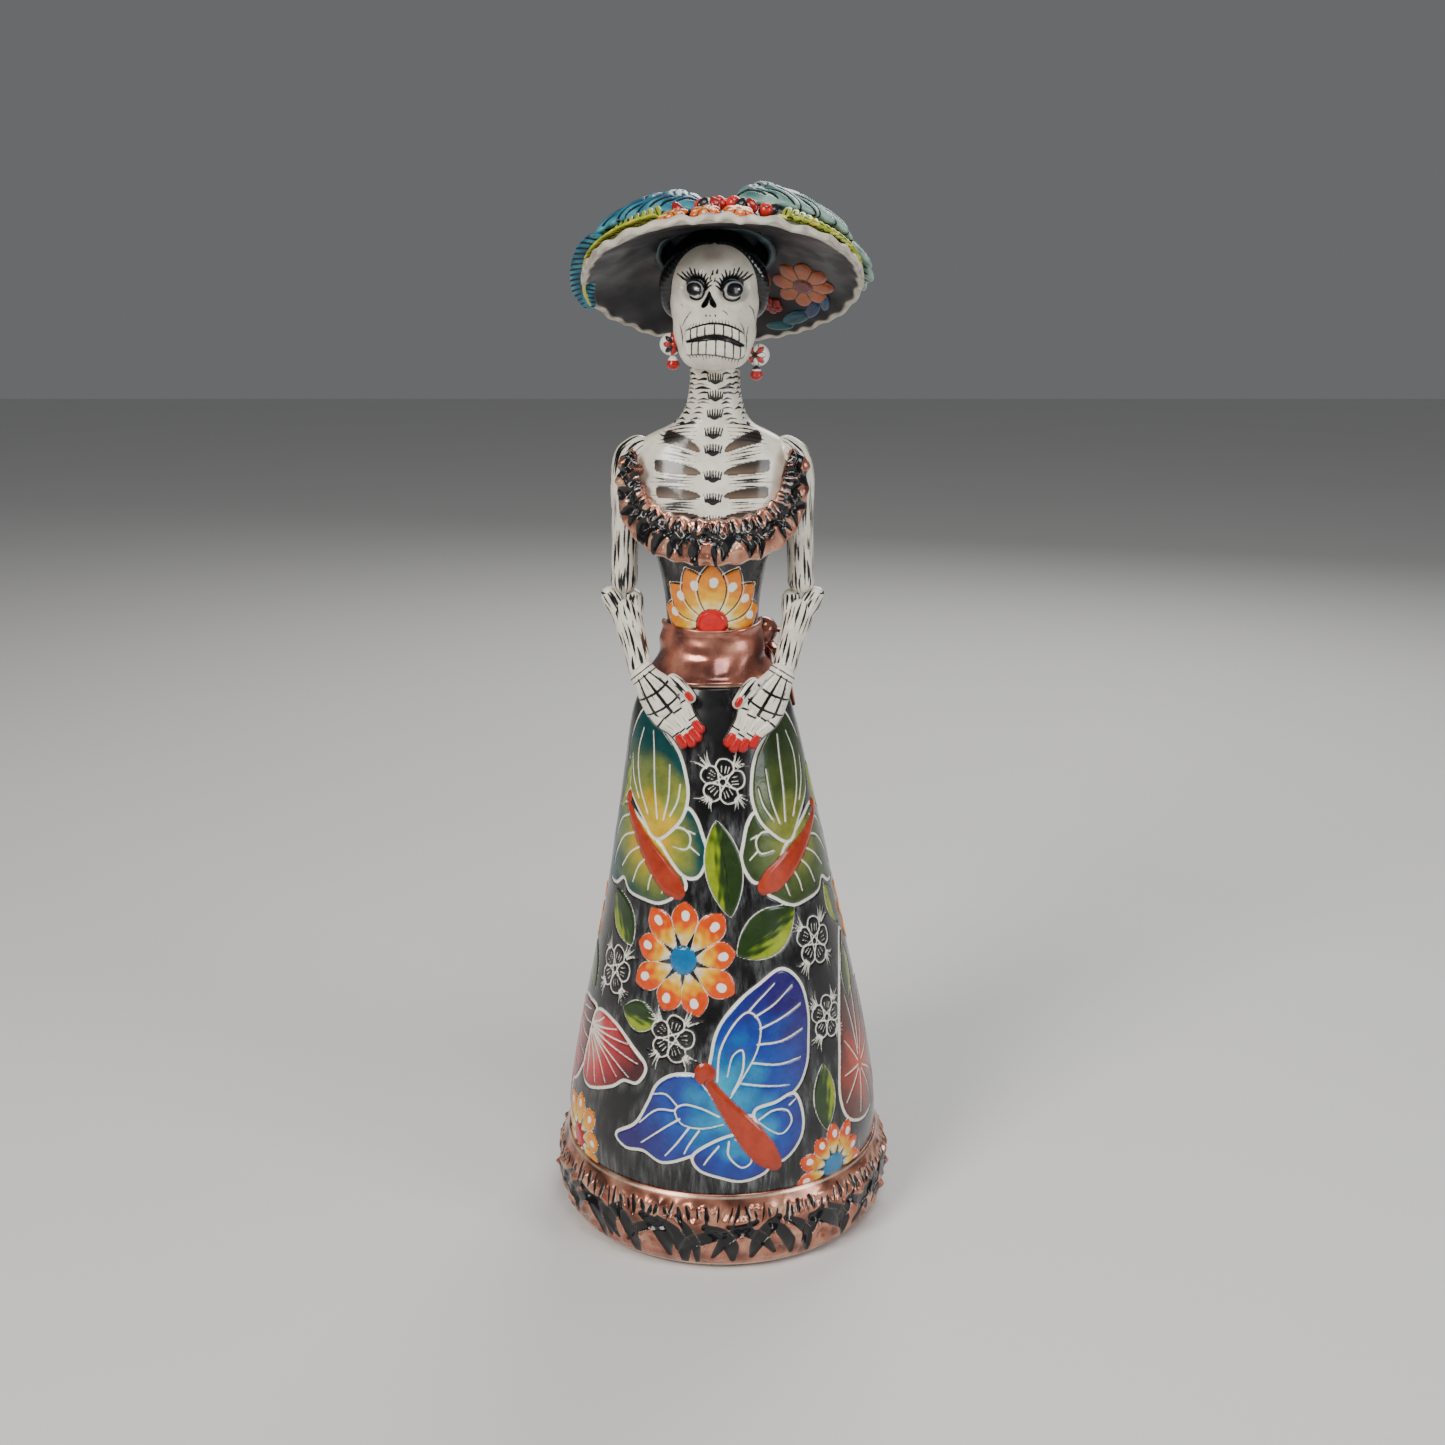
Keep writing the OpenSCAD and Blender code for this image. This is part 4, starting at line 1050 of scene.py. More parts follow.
def make_arm(side, name):
    shoulder = np.array([BODY_X + side * 32.6, 0.8, SHOULDER_Z + 3.0])
    elbow = np.array([BODY_X + side * 36.0, 1.0, 264.0])
    upper = tube([shoulder + (-side * 9.0, 0.6, 7.4), shoulder + (-side * 2.6, 0.2, 5.4),
                  shoulder + (side * 0.8, 0, -2), (shoulder + elbow) / 2 + (side * 0.6, 0, 0), elbow + (0, 0, 2)],
                 [5.2, 7.2, 6.9, 6.2, 5.7, 5.4, 5.4, 5.6], BONE, columns=72, spacing=0.42)
    bone_color(upper.coat, 110)
    stroke_bone(upper.coat, 1.5, upper.coat.up.max() - 1, 111 + side, gap=1.6)
    build("upper_arm_" + name, [upper], BONE_GLAZE, "figure", ["upper_arm_" + name])
    wrist = np.array([BODY_X + side * 28.0, -27.5, 240.0])
    top = elbow + (0, -0.5, -1.5)
    middle = elbow + (-side * 2.6, -9.5, -9.5)
    main = tube([top, middle, (middle + wrist) / 2 + (0, 0, 0.6), wrist, wrist + (-side * 1.0, -0.4, -3.5)],
                [5.6, 6.0, 5.6, 5.0, 4.9, 5.0], BONE, columns=72, spacing=0.42,
                depth=[5.4, 5.8, 5.4, 4.8, 4.5, 4.4])
    outer = tube([middle + (side * 1.6, 0.5, 1.5), elbow + (side * 5.0, 0.6, 0.5),
                  elbow + (side * 6.0, 0.8, 4.6)], [3.6, 4.2, 3.9], BONE)
    inner = tube([middle + (-side * 1.8, 0.5, 1.5), elbow + (-side * 4.2, -0.6, 0),
                  elbow + (-side * 4.9, -0.8, 3.4)], [3.4, 4.0, 3.6], BONE)
    for g, seed in ((main, 115), (outer, 117), (inner, 119)):
        bone_color(g.coat, seed)
        stroke_bone(g.coat, 1, g.coat.up.max() - 1, seed + side, gap=1.8)
    for g in (outer, inner):
        g.coat.ring(g.coat.up.max() - 1.9, 0.42)
    build("forearm_" + name, [main, outer, inner], BONE_GLAZE, "figure", ["forearm_" + name])
    make_hand(side, name, wrist)


FINGERS = ((-6.2, -4.3, 34.6), (-2.2, -1.5, 36.8), (1.9, 1.4, 37.4), (5.8, 4.2, 36.4))
LONGER = {1: (0.4, 1.4, 2.6, 3.0), -1: (2.2, 1.6, 0.8, 0.0)}   # mm, by side, for each finger


def make_hand(side, name, wrist):
    """A hand whose fingers lie side by side, built with its fingers to -Z and its back to -Y."""
    def place(points):
        points = points * (-side, 1, 1)
        x, z = spin(points[:, 0], points[:, 2], -31 if side > 0 else 38)
        y, z = spin(points[:, 1], z, -15)
        return np.stack([x, y, z], 1) + wrist
    palm = tube([(0, -1.2, 2.5), (0, -1.6, -4), (0, -1.4, -12), (0, -0.6, -21)],
                [4.9, 5.6, 7.6, 8.8, 8.4], BONE, columns=96, spacing=0.35,
                depth=[4.4, 4.5, 4.6, 4.2, 3.4], ends=(0.6, 0.4))
    bone_color(palm.coat, 120)
    front = palm.coat.patch(0, 0, reach=60)
    for x in (-4.6, -0.2, 4.2):
        front.line("dark", [(x * 0.55, 5), (x * 0.85, 11), (x, 18), (x, 24)], 0.3, 0.52, 0.46)
    for x in (-6.6, -2.4, 2.0, 6.2):
        front.line("dark", [(x * 0.6, 8), (x * 0.9, 15)], 0.12, 0.2, 0.1)
    for y in (12.5, 19.0):
        front.line("dark", [(-9, y - 1.6), (-4, y - 0.3), (0, y + 0.4), (4, y), (9, y - 1.4)],
                   0.36, 0.5, 0.36)
    for y in (3.0, 5.0):
        bowed = np.abs(palm.coat.up - y - 0.4 * np.cos(palm.coat.across))
        palm.coat.dark = np.maximum(palm.coat.dark, 0.26 - bowed)
    grids = [palm]
    for k, (root, tip, reach) in enumerate(FINGERS):
        reach += LONGER[side][k]
        g = tube([(root, -0.4, -14), (root * 1.02, -1.0, -20), (tip * 1.02, -0.4, -26),
                  (tip, 0.4, 2.4 - reach)], [2.5, 2.55, 2.45, 2.2], BONE, columns=48, spacing=0.3,
                 depth=[2.7, 2.9, 2.7, 2.3])
        coat = g.coat
        bone_color(coat, 122 + k)
        length = coat.up.max()
        side_on = 0.62 - coat.radius * np.abs(np.abs(coat.across) - math.radians(64))
        coat.dark = np.maximum(coat.dark, side_on - 0.6 * step(coat.up, length - 2, length))
        for part in (0.30, 0.66):
            coat.ring(length * part + (0.5, -0.3, 0.4, -0.4)[k], 0.36,
                      0.5 * step(np.abs(coat.across), 1.2, 2.0))
        coat.patch(0, length * 0.48, reach=5).line("dark", [(0.5, -2.4), (0.3, 2.4)], 0.1, 0.2, 0.1)
        nail = coat.patch(0, length - 2.3, reach=5)
        inside = nail.limb([(0, -1.8), (0, 2.6)], [2.2, 3.0], False)
        nail.fill(inside, RED, lift=0.25)
        grids.append(g)
    build("hand_" + name + "_piece", grids, BONE_GLAZE, "figure", ["hand_" + name], place)
    thumb = tube([(7.0, -2.0, -8), (8.6, -2.8, -14), (8.9, -2.6, -22.5)], [2.4, 2.7, 2.5, 2.2], BONE,
                 columns=48, spacing=0.3)
    bone_color(thumb.coat, 130)
    length = thumb.coat.up.max()
    stroke_bone(thumb.coat, 1, length - 5, 131, gap=1.6)
    nail = thumb.coat.patch(0, length - 3.0, reach=5)
    nail.fill(nail.limb([(0, -1.0), (0, 0.9)], [1.3, 1.35], False), RED, lift=0.25)
    build("thumb_" + name + "_piece", [thumb], BONE_GLAZE, "figure", ["thumb_" + name], place)


# ---------------------------------------------------------------- head

HEAD_X = BODY_X + 1.0


def head_radius(d, center, balls, sharp=20.0):
    """How far the skin is from center in each direction: a smooth union of balls."""
    best = np.zeros(d.shape[:-1])
    for x, y, z, r in balls:
        c = np.array([x, y, z]) - center
        along = d @ c
        inside = along ** 2 - c @ c + r * r
        reach = np.where(inside > 0, along + np.sqrt(np.maximum(inside, 0)), 0)
        best += np.clip(reach / 20, 0, None) ** (sharp * 2)
    return 20 * best ** (1 / (sharp * 2))


SKULL_BALLS = ((0, 0.5, 388, 17.7), (0, -4.5, 388, 17.4), (0, -7.0, 380, 17.0), (0, -8.0, 374.5, 15.8),
               (-3.5, -9, 369.5, 12.4), (3.5, -9, 369.5, 12.4), (0, -11.5, 366.5, 12.0),
               (-6.2, -10.5, 363.0, 7.6), (6.2, -10.5, 363.0, 7.6), (0, -13.0, 362.6, 7.6))


def face_marks(p):
    """Paints the face: p's x is measured from its middle and its y is a height."""
    for side, x, z, wide, tall in ((-1, -7.3, 385.0, 3.4, 3.3), (1, 7.3, 384.8, 3.9, 3.5)):
        q = Patch(p.coat, p.ids, p.x - x, p.y - z, 1.0)
        far = np.hypot(q.x / wide, q.y / tall)
        socket = step(far, 1.75, 1.05)
        q.lift(-1.9 * socket * step(far, 0.75, 1.1))
        ball = np.sqrt(np.clip(1 - far ** 2, 0, 1))
        q.lift(1.5 * ball)
        # painted shade: the sunken socket round each eye is tinted darker, as shade falls in it
        q.tint((0.30, 0.29, 0.29), socket * 0.45)
        q.tint((0.52, 0.52, 0.54), step(far, 1.02, 0.92))
        iris = q.limb([(-0.6, -0.5), (0.4, -0.5)], [2.4, 2.4], False)
        q.tint((0.30, 0.34, 0.38), step(q.y, 0.2, 2.6) * step(far, 1.0, 0.9))
        q.mark("dark", iris)
        # painted highlight: a small white glint on the dark pupil
        q.line("white", [(0.9, -0.4), (1.2, -0.3)], 0.25, 0.3)
        q.mark("white", q.limb([(-wide * 0.5, -tall * 0.74), (0, -tall * 0.92), (wide * 0.5, -tall * 0.74)],
                               [0.1, 0.3, 0.1]))
        q.line("dark", [(-wide * 1.05, 0.5), (-wide * 0.75, -tall * 0.85), (0, -tall * 1.15),
                        (wide * 0.75, -tall * 0.85), (wide * 1.05, 0.5)], 0.2, 0.42, 0.5, 0.42, 0.2)
        q.line("dark", [(-wide * 1.1, 0.2), (-wide * 0.8, tall * 0.85), (0, tall * 1.1),
                        (wide * 0.8, tall * 0.85), (wide * 1.1, 0.2)], 0.5, 1.1, 1.1, 1.1, 0.5)
        for k, angle in enumerate(np.linspace(-88, 50, 11)):
            b = math.radians(90 + side * -angle)
            x0, y0 = wide * 1.12 * math.cos(b), tall * 1.25 * math.sin(b)
            long = 3.2 + 0.6 * math.sin(2.1 * k) + 0.6 * math.cos(b) ** 2
            tip = (x0 + long * (math.cos(b) * 0.9 + side * 0.25), y0 + long * (0.25 + 0.7 * math.sin(b)))
            q.line("dark", [(x0, y0), tip], 0.62, 0.24)
    for x, z, w in ((-0.8, 390.2, 0.45), (0.9, 390.6, 0.46), (0.0, 387.6, 0.3), (-1.6, 388.4, 0.35)):
        p.line("dark", [(x, z), (x + 0.3, z + 1.3)], w, w * 0.5)
    nose = p.shape([(-1.9, 384.2), (-0.7, 381.8), (0.9, 378.9), (0.0, 378.0), (-1.6, 379.2), (-2.0, 381.0),
                    (-2.4, 379.2), (-4.0, 378.0), (-5.0, 378.7), (-3.3, 381.8)])
    p.mark("dark", nose)
    p.lift(-2.0 * step(nose, -0.3, 0.8))
    p.lift(0.9 * step(np.hypot((p.x + 2.0) / 4.6, (p.y - 381.2) / 5.5), 1.2, 0.3) * (nose < 0))
    for x in (-3.2, -1.7, 0.3):
        p.line("dark", [(x, 375.4), (x + 0.1, 375.0)], 0.3, 0.24)
    bite = [(-10.6, 365.6), (-6, 366.6), (0, 367.4), (5, 366.6), (9, 364.8), (11.4, 364.0)]
    top = [(-11.0, 369.6), (-7, 371.2), (-2, 372.4), (3, 372.2), (7, 371.0), (11.2, 368.6)]
    low = [(-10.4, 361.0), (-6, 361.2), (0, 361.0), (5, 360.0), (9, 359.4), (11, 360.6)]
    teeth = p.shape(top + low[::-1])
    p.tint((0.90, 0.86, 0.72), step(teeth, 0, 0.5))
    p.lift(0.9 * step(teeth, -0.8, 0.8))
    mouth = p.limb(bite, [0.45, 0.9, 1.15, 1.0, 0.9, 0.4])
    p.mark("dark", mouth)
    p.lift(-1.6 * step(mouth, -0.4, 0.5))
    p.line("dark", top, 0.22, 0.34, 0.42, 0.38, 0.3)
    p.line("dark", low, 0.2, 0.3, 0.36, 0.36, 0.3)
    rng = np.random.default_rng(140)
    top_line, low_line, mid_line = curve(top), curve(low), curve(bite)
    for k, x in enumerate((-8.6, -6.2, -3.4, 0.0, 3.2, 6.2, 8.8)):
        at = [np.array([x, np.interp(x, line[:, 0], line[:, 1])]) for line in (top_line, mid_line, low_line)]
        p.line("dark", [at[0], at[1] + (0, 0.6)], 0.22, 0.3, smooth=False)
        p.line("dark", [at[1] + (0.5, -0.8), at[2] + (0.4, 0)], 0.3, 0.22, smooth=False)
    for x in np.arange(-9.5, 10.5, 1.25):
        up, down = (np.interp(x, line[:, 0], line[:, 1]) for line in (top_line, low_line))
        p.line("dark", [(x, up + 0.1), (x - 0.05 * x, up + rng.uniform(0.9, 2.0))], 0.22, 0.08)
        p.line("dark", [(x, down - 0.1), (x - 0.06 * x, down - rng.uniform(0.9, 2.2))], 0.24, 0.08)
    for line in ([(-8.8, 376.8), (-10.6, 374.4), (-12.8, 371.4)],
                 [(9.8, 372.6), (11.4, 370.2), (12.2, 367.2)],
                 [(13.0, 379.0), (14.6, 377.0), (15.2, 374.0)], [(2.9, 377.2), (4.2, 376.4), (5.2, 375.2)],
                 [(-12.6, 379.4), (-11.8, 378.6)], [(-13.6, 372), (-13.0, 368), (-12.2, 364)],
                 [(13.4, 371), (12.6, 366), (11.8, 362)]):
        p.line("dark", line, 0.1, 0.22, 0.1)
    for side in (-1, 1):
        shaded_hollow = step(np.hypot((p.x - side * 12.6) / 4.2, (p.y - 369) / 7), 1, 0)
        p.lift(-1.0 * shaded_hollow)
        # painted shade: each sunken cheek is tinted darker as well as pushed in
        p.tint((0.50, 0.44, 0.38), shaded_hollow * 0.35)
    smudge = step(np.hypot(p.x / 7, (p.y - 396.5) / 4.5), 1, 0)
    p.tint((0.34, 0.20, 0.17), smudge * 0.55)


def make_skull():
    columns, count = 460, 330
    a = around(columns)
    e = np.linspace(-math.pi / 2 + 0.004, math.pi / 2 - 0.004, count)[:, None]
    d = np.stack([np.cos(e) * np.sin(a), -np.cos(e) * np.cos(a), np.sin(e) + 0 * a], -1)
    center = np.array([0, -6.0, 376.0])
    rows = center + d * head_radius(d, center, SKULL_BALLS)[..., None]
    flat = rows.reshape(-1, 3)
    coat = Coat(flat[:, 0], flat[:, 2], BONE)
    t = waves(*flat.T, size=16, seed=139)
    coat.color[:] = lerp(BONE, (0.70, 0.64, 0.54), np.clip(t, 0, 1) * 0.5)
    coat.mask = flat[:, 1] < -9
    face_marks(coat.patch(0, 0, reach=500))
    build("skull_piece", [Grid(rows + (HEAD_X, 0, 0), coat)], BONE_GLAZE, "figure", ["skull"])


def make_hair():
    """Hair combed from a middle part down past the ears, open at the face."""
    columns, count = 420, 150
    phi = around(columns)
    edge = np.interp(np.degrees(np.abs(phi)), [0, 20, 50, 80, 105, 125, 150, 180],
                     [125, 121, 121, 121, 117, 100, 74, 66])
    edge = np.convolve(np.concatenate([edge[-12:], edge, edge[:12]]), np.ones(25) / 25, "valid")
    share = np.linspace(0.02, 1, count)[:, None]
    theta = np.radians(share * edge)
    pole = np.array([0, 0.97, 0.243])
    up, across = np.array([0, -0.243, 0.97]), np.array([1.0, 0, 0])
    d = (np.cos(theta)[..., None] * pole + np.sin(theta)[..., None]
         * (np.cos(phi)[:, None] * up + np.sin(phi)[:, None] * across))
    center = np.array([0, -2.0, 388.0])
    skin = head_radius(d, center, SKULL_BALLS)
    low = step(-d[..., 2], -0.45, 0.1)
    thick = (2.0 + 1.9 * low) * np.clip((1 - share) / 0.10, 0, 1) ** 0.5 - 0.5 * step(share, 0.93, 1)
    strands_and_sheen = np.sin(phi * 62 + 1.4 * np.sin(3 * phi) + 5 * share)
    comb = 0.03 * strands_and_sheen * step(share, 0.15, 0.5)
    radius = np.minimum(skin + thick + comb * (thick > 0.5), 19.8 + 3.5 * low)
    part = 0.7 * np.exp(-(phi / 0.05) ** 2) * step(share, 0.3, 0.6)
    rows = center + d * (radius - part)[..., None]
    flat = rows.reshape(-1, 3)
    coat = Coat(np.tile(phi, count), flat[:, 2], BLACK, np.full(len(flat), 18.0))
    # painted sheen: the crests of the strands are painted a lighter, bluish black, as glossy highlight lines
    coat.color[:] = lerp(BLACK, (0.018, 0.020, 0.026), (strands_and_sheen > 0.75).ravel() * 0.8)
    build("hair_piece", [Grid(rows + (HEAD_X, 0, 0), coat)], HAIR_GLAZE, "figure", ["hair"])


def make_earrings():
    for side, name, z in ((-1, "right", 364.5), (1, "left", 360.5)):
        at = np.array([HEAD_X + side * 16.9, -7.0, z])
        ball = tube([at + (0, 0, 4.3), at, at + (0, 0, -4.3)], [4.2, 4.3, 4.2], IVORY, columns=96,
                    spacing=0.22, depth=[3.4, 3.6, 3.4])
        p = ball.coat.patch(-20 * side, 4.3, reach=9)
        ink, spot = (BLACK, RED) if side < 0 else ((0.55, 0.03, 0.03), WHITE)
        for k in range(8):
            q = p.turned(45 * k)
            inside = q.petal(0.6, 4.2, 0.95)
            q.fill(inside, ink if k % 2 else spot, lift=0.35)
            q.rim("dark", inside, 0.3)
        p.fill(p.spot(1.1), RED if side < 0 else BLACK, lift=0.5)
        build("earring_" + name, [ball], EARRING_GLAZE, "figure", ["earring_flower_" + name])
        low = at - (side * 0.8, 0.6, 7.1)
        drop = tube([low + (0, 0, 3.0), low + (0, 0, 0.6), low + (0, 0, -2.6)], [1.0, 1.9, 2.6, 2.3],
                    (0.86, 0.82, 0.76) if side < 0 else BLACK, columns=64, spacing=0.2)
        tip = drop.coat.patch(0, drop.coat.up.max() - 1.6, reach=9)
        tip.fill(2.2 - np.hypot(tip.x * 0.4, tip.y), RED if side < 0 else (0.45, 0.02, 0.02))
        ring = 0.3 - np.abs(drop.coat.up - drop.coat.up.max() + 4.0)
        drop.coat.white = np.maximum(drop.coat.white, ring)
        build("drop_" + name, [drop], EARRING_GLAZE, "figure", ["earring_drop_" + name])


# ---------------------------------------------------------------- hat, in its own frame

BRIM_SLOPE = 0.42


def in_hat(points):
    """The hat's own frame, tipped backwards and put on the head."""
    x, y, z = points.T
    return np.stack([x, *spin(y, z, -HAT_TILT)], 1) + HAT


def brim_top(r):
    return BRIM_T + (BRIM_R - r) * BRIM_SLOPE


def polar(bearing, r, z):
    a = np.radians(bearing)
    return np.stack([r * np.cos(a), r * np.sin(a), z + 0 * a], -1)


def make_brim():
    columns = 720
    a = around(columns)
    hole = np.stack([CROWN[0] + CROWN_R * np.sin(a), CROWN[1] - 2.5 * np.cos(a) - CROWN_R * np.cos(a)], -1)
    rim = np.stack([np.sin(a), -np.cos(a)], -1) * BRIM_R
    under = np.linspace(0, 1, 78)
    over = np.linspace(1, 0, 60)
    share = np.concatenate([under, [1.012, 1.018, 1.012], over])
    lift = np.concatenate([0 * under, [0.7, 1.5, 2.3], 0 * over + BRIM_T])
    xy = hole[None] * (1 - share[:, None, None]) + rim[None] * share[:, None, None]
    r = np.hypot(xy[..., 0], xy[..., 1])
    z = (BRIM_R - np.minimum(r, BRIM_R)) * BRIM_SLOPE + lift[:, None]
    near_rim = step(share, 0.86, 1.0)[:, None]
    front = 0.55 + 0.45 * np.cos(a)
    crimp = np.sin(a * 34 + 1.6 * np.sin(5 * a))
    ripple = crimp + 0.6 * np.sin(a * 19 + 2)
    z = z + near_rim * (0.25 + 0.35 * front) * ripple + 0.25 * near_rim
    z = z + 0.35 * waves(xy[..., 0], xy[..., 1], size=24, seed=150)
    rows = np.concatenate([xy, z[..., None]], -1)
    coat = Coat(np.tile(a, len(share)), r.ravel(), (0.010, 0.009, 0.011), r.ravel())
    below = np.repeat(np.arange(len(share)) < len(under), columns)
    x, y = rows[..., 0].ravel(), rows[..., 1].ravel()
    brush = waves(coat.across * 60, coat.up * 2.5, size=40, seed=151) + 0.7 * waves(x, y, size=16, seed=152)
    coat.tint((0.034, 0.023, 0.026), np.clip(brush, 0, 1) * 0.75)
    coat.tint((0.075, 0.055, 0.055), np.clip(brush - 1.0, 0, 1) * 0.6)
    coat.color[~below] = lerp((0.020, 0.034, 0.040), (0.05, 0.10, 0.11), np.clip(brush, 0, 1))[~below]
    width = np.tile(1.9 + 0.5 * np.cos(a) + 0.45 * crimp, len(share))
    pale = step(coat.up, BRIM_R - width - 0.8, BRIM_R - width + 0.5)
    smudge = np.clip(waves(coat.across * 54, coat.up * 3, size=9, seed=153), 0, 1) * 0.45
    coat.tint(lerp((0.62, 0.57, 0.48), (0.16, 0.11, 0.09), smudge), pale)
    build("brim", [Grid(rows, coat, wrap_v=True)], HAT_GLAZE, "hat", ["hat_brim"], in_hat)


def make_crown():
    columns = 300
    a = around(columns)
    r = CROWN_R + np.array([3.1, 3.1, 3.0, 2.4, 0.6, -2.4, -6, -10, -14, -18, -20.3])
    z = np.array([11.5, 14, 17, 20, 23, 25.2, 26.6, 27.2, 27.5, 27.6, 27.6])
    line = curve(np.stack([r, z], 1), steps=6)
    r, z = line[:, :1], line[:, 1:]
    rows = np.stack([CROWN[0] + r * np.sin(a), CROWN[1] - (r + 2.5 * step(r, 0, 12)) * np.cos(a), z + 0 * a], -1)
    inner = rows[::-1].copy()
    shrink = 1 - CROWN_WALL / np.maximum(r[::-1], 4.0)
    for k in (0, 1):
        inner[..., k] = CROWN[k] + (inner[..., k] - CROWN[k]) * shrink
    inner[..., 2] = np.where(inner[..., 2] > 23, inner[..., 2] - CROWN_WALL, inner[..., 2])
    both = np.concatenate([rows, inner])
    flat = both.reshape(-1, 3)
    coat = Coat(np.tile(a, len(both)), flat[:, 2], (0.020, 0.034, 0.040), np.full(len(flat), 21.0))
    t = np.clip(waves(coat.across * 21, coat.up, size=12, seed=155), 0, 1)
    coat.tint((0.05, 0.11, 0.12), t)
    coat.mask = np.arange(len(flat)) < rows.shape[0] * columns
    for angle in range(-180, 180, 45):
        line_flower(coat.patch(angle, 19.5, reach=9), 4.2)
    build("crown", [Grid(both, coat, wrap_v=True)], HAT_GLAZE, "hat", ["hat_crown"], in_hat)


def feather(spine, widths, colors, lobes, seed, lean_by):
    """A plume: a flat lobed blade along a spine of (bearing, radius, height over the rim). One
    side leans outwards and down over the brim, and the other stands up in scallops."""
    spine = np.asarray(spine, float)
    path, s = resample(curve(polar(*spine.T), steps=16), 0.45)
    along = s / s[-1]
    w = np.interp(along, np.linspace(0, 1, len(widths)), widths)
    w = w * np.sqrt(np.clip(1 - (2 * along - 1) ** 6, 0.01, 1))
    radial = path * (1, 1, 0)
    radial /= np.linalg.norm(radial, axis=1, keepdims=True)
    b = math.radians(lean_by)
    wide = radial * math.cos(b) - np.array([0, 0, 1]) * math.sin(b)
    out = radial * math.sin(b) + np.array([0, 0, 1]) * math.cos(b)
    columns = 150
    a = around(columns)
    scallop = np.abs(np.sin(math.pi * lobes * along + 0.35))
    upper = 1 + 0.20 * (scallop[:, None] - 0.5) * step(-np.sin(a), 0.1, 0.9)
    lower = 1 + 0.08 * np.sin(2 * math.pi * lobes * 1.6 * along)[:, None] * step(np.sin(a), 0.2, 0.9)
    reach = w[:, None] * upper * lower * np.sin(a)
    thick = (w * 0.20 + 0.5)[:, None] * np.cos(a) * (0.85 + 0.3 * scallop[:, None])
    rows = path[:, None] + wide[:, None] * reach[..., None] + out[:, None] * thick[..., None]
    coat = Coat(np.repeat(s, columns), reach.ravel(), colors[0])
    edge = np.abs(reach / np.maximum(w[:, None], 1)).ravel()
    tone = edge + 0.25 * waves(coat.across, coat.up, size=8, seed=seed)
    coat.color[:] = ramp(tone, *colors)
    rng = np.random.default_rng(seed)
    everywhere = coat.patch(0, 0, reach=500)
    y = -3.0
    while y < s[-1] + 3:
        at = float(np.interp(y, s, w))
        for way in (-1, 1):
            d = rng.uniform(0.85, 1.1)
            width = rng.uniform(0.55, 0.9)
            everywhere.line("dark", [(y, way * 0.8), (y + 3.0, way * at * 0.5), (y + 4.6 * d, way * at * d)],
                            width * 0.5, width, width * 0.55)
        y += rng.uniform(3.0, 4.0)
    coat.relief -= 0.3 * step(coat.dark, -0.3, 0.3)
    return Grid(rows, coat)


TEAL = ((0.006, 0.06, 0.12), (0.010, 0.17, 0.26), (0.06, 0.28, 0.36))
PALE_TEAL = ((0.02, 0.09, 0.085), (0.11, 0.25, 0.22), (0.28, 0.42, 0.36))


def hanging_plume():
    """The tip that hangs over the rim at the figure's right, with a pale yellow stem."""
    grid = tube([(-45, -22, 11), (-50, -15, 8.5), (-53, -6, 5.0), (-54, 4, 1.0), (-52, 14, -2.5)],
                [3.6, 5.0, 5.2, 4.6, 2.4], TEAL[1], columns=72, spacing=0.35, depth=[1.6, 1.8, 1.6, 1.2, 0.8])
    coat = grid.coat
    coat.color[:] = ramp(0.5 + 0.5 * waves(coat.across * 4, coat.up, size=8, seed=172), *TEAL)
    p = coat.patch(0, 0, reach=60)
    for y in np.arange(2, coat.up.max() - 2, 2.6):
        for way in (-1, 1):
            p.line("dark", [(way * 0.8, y), (way * 3, y + 1.6), (way * 5.5, y + 3.4)], 0.3, 0.5, 0.3)
    stem = p.limb([(0.4, 2), (0, 14), (0.5, coat.up.max() - 3)], [0.9, 0.7, 0.3])
    p.fill(stem, (0.62, 0.56, 0.10), lift=0.4)
    return grid


def make_feathers():
    def h(bearing, r, over):
        return (bearing, r, brim_top(r) + over)
    plumes = {
        "front_right": ([h(-103, 30, 6), h(-122, 33, 9), h(-142, 38, 11.5), h(-160, 43, 12.5),
                         h(-172, 46, 11)],
                        (9, 12.5, 12, 11, 8), TEAL, 4.5, 160, 40),
        "front_left": ([h(-80, 30, 9), h(-58, 33, 12), h(-38, 38, 12.5), h(-22, 43, 12), h(-12, 46, 8)],
                       (9, 13.5, 13, 12, 8), PALE_TEAL, 4.5, 162, 40),
        "side_right": ([h(-172, 48, 8), h(-182, 49, 8), h(-194, 48, 8), h(-208, 46, 7), h(-228, 44, 6)],
                       (6, 9, 10, 10, 8), TEAL, 4.5, 164, 42),
        "side_left": ([h(-18, 47, 8), h(-6, 49.5, 9), h(8, 50, 8), h(24, 47, 8), h(40, 45, 7), h(54, 43, 6)],
                      (7, 10.5, 11, 10.5, 10, 8), PALE_TEAL, 4.5, 166, 42),
        "back_right": ([h(126, 43, 6), h(112, 43, 7), h(98, 43, 7), h(91, 43, 6)],
                       (7, 9.5, 9, 6), TEAL, 3.5, 168, 40),
        "back_left": ([h(58, 43, 6), h(70, 43, 7), h(82, 43, 7), h(89, 43, 6)],
                      (7, 9.5, 9, 6), PALE_TEAL, 3.5, 170, 40)}
    for name, (spine, widths, colors, lobes, seed, lean_by) in plumes.items():
        grids = [feather(spine, widths, colors, lobes, seed, lean_by)]
        if name == "side_right":
            grids.append(hanging_plume())
        build("plume_" + name, grids, FEATHER_GLAZE, "hat", ["feather_" + name], in_hat)


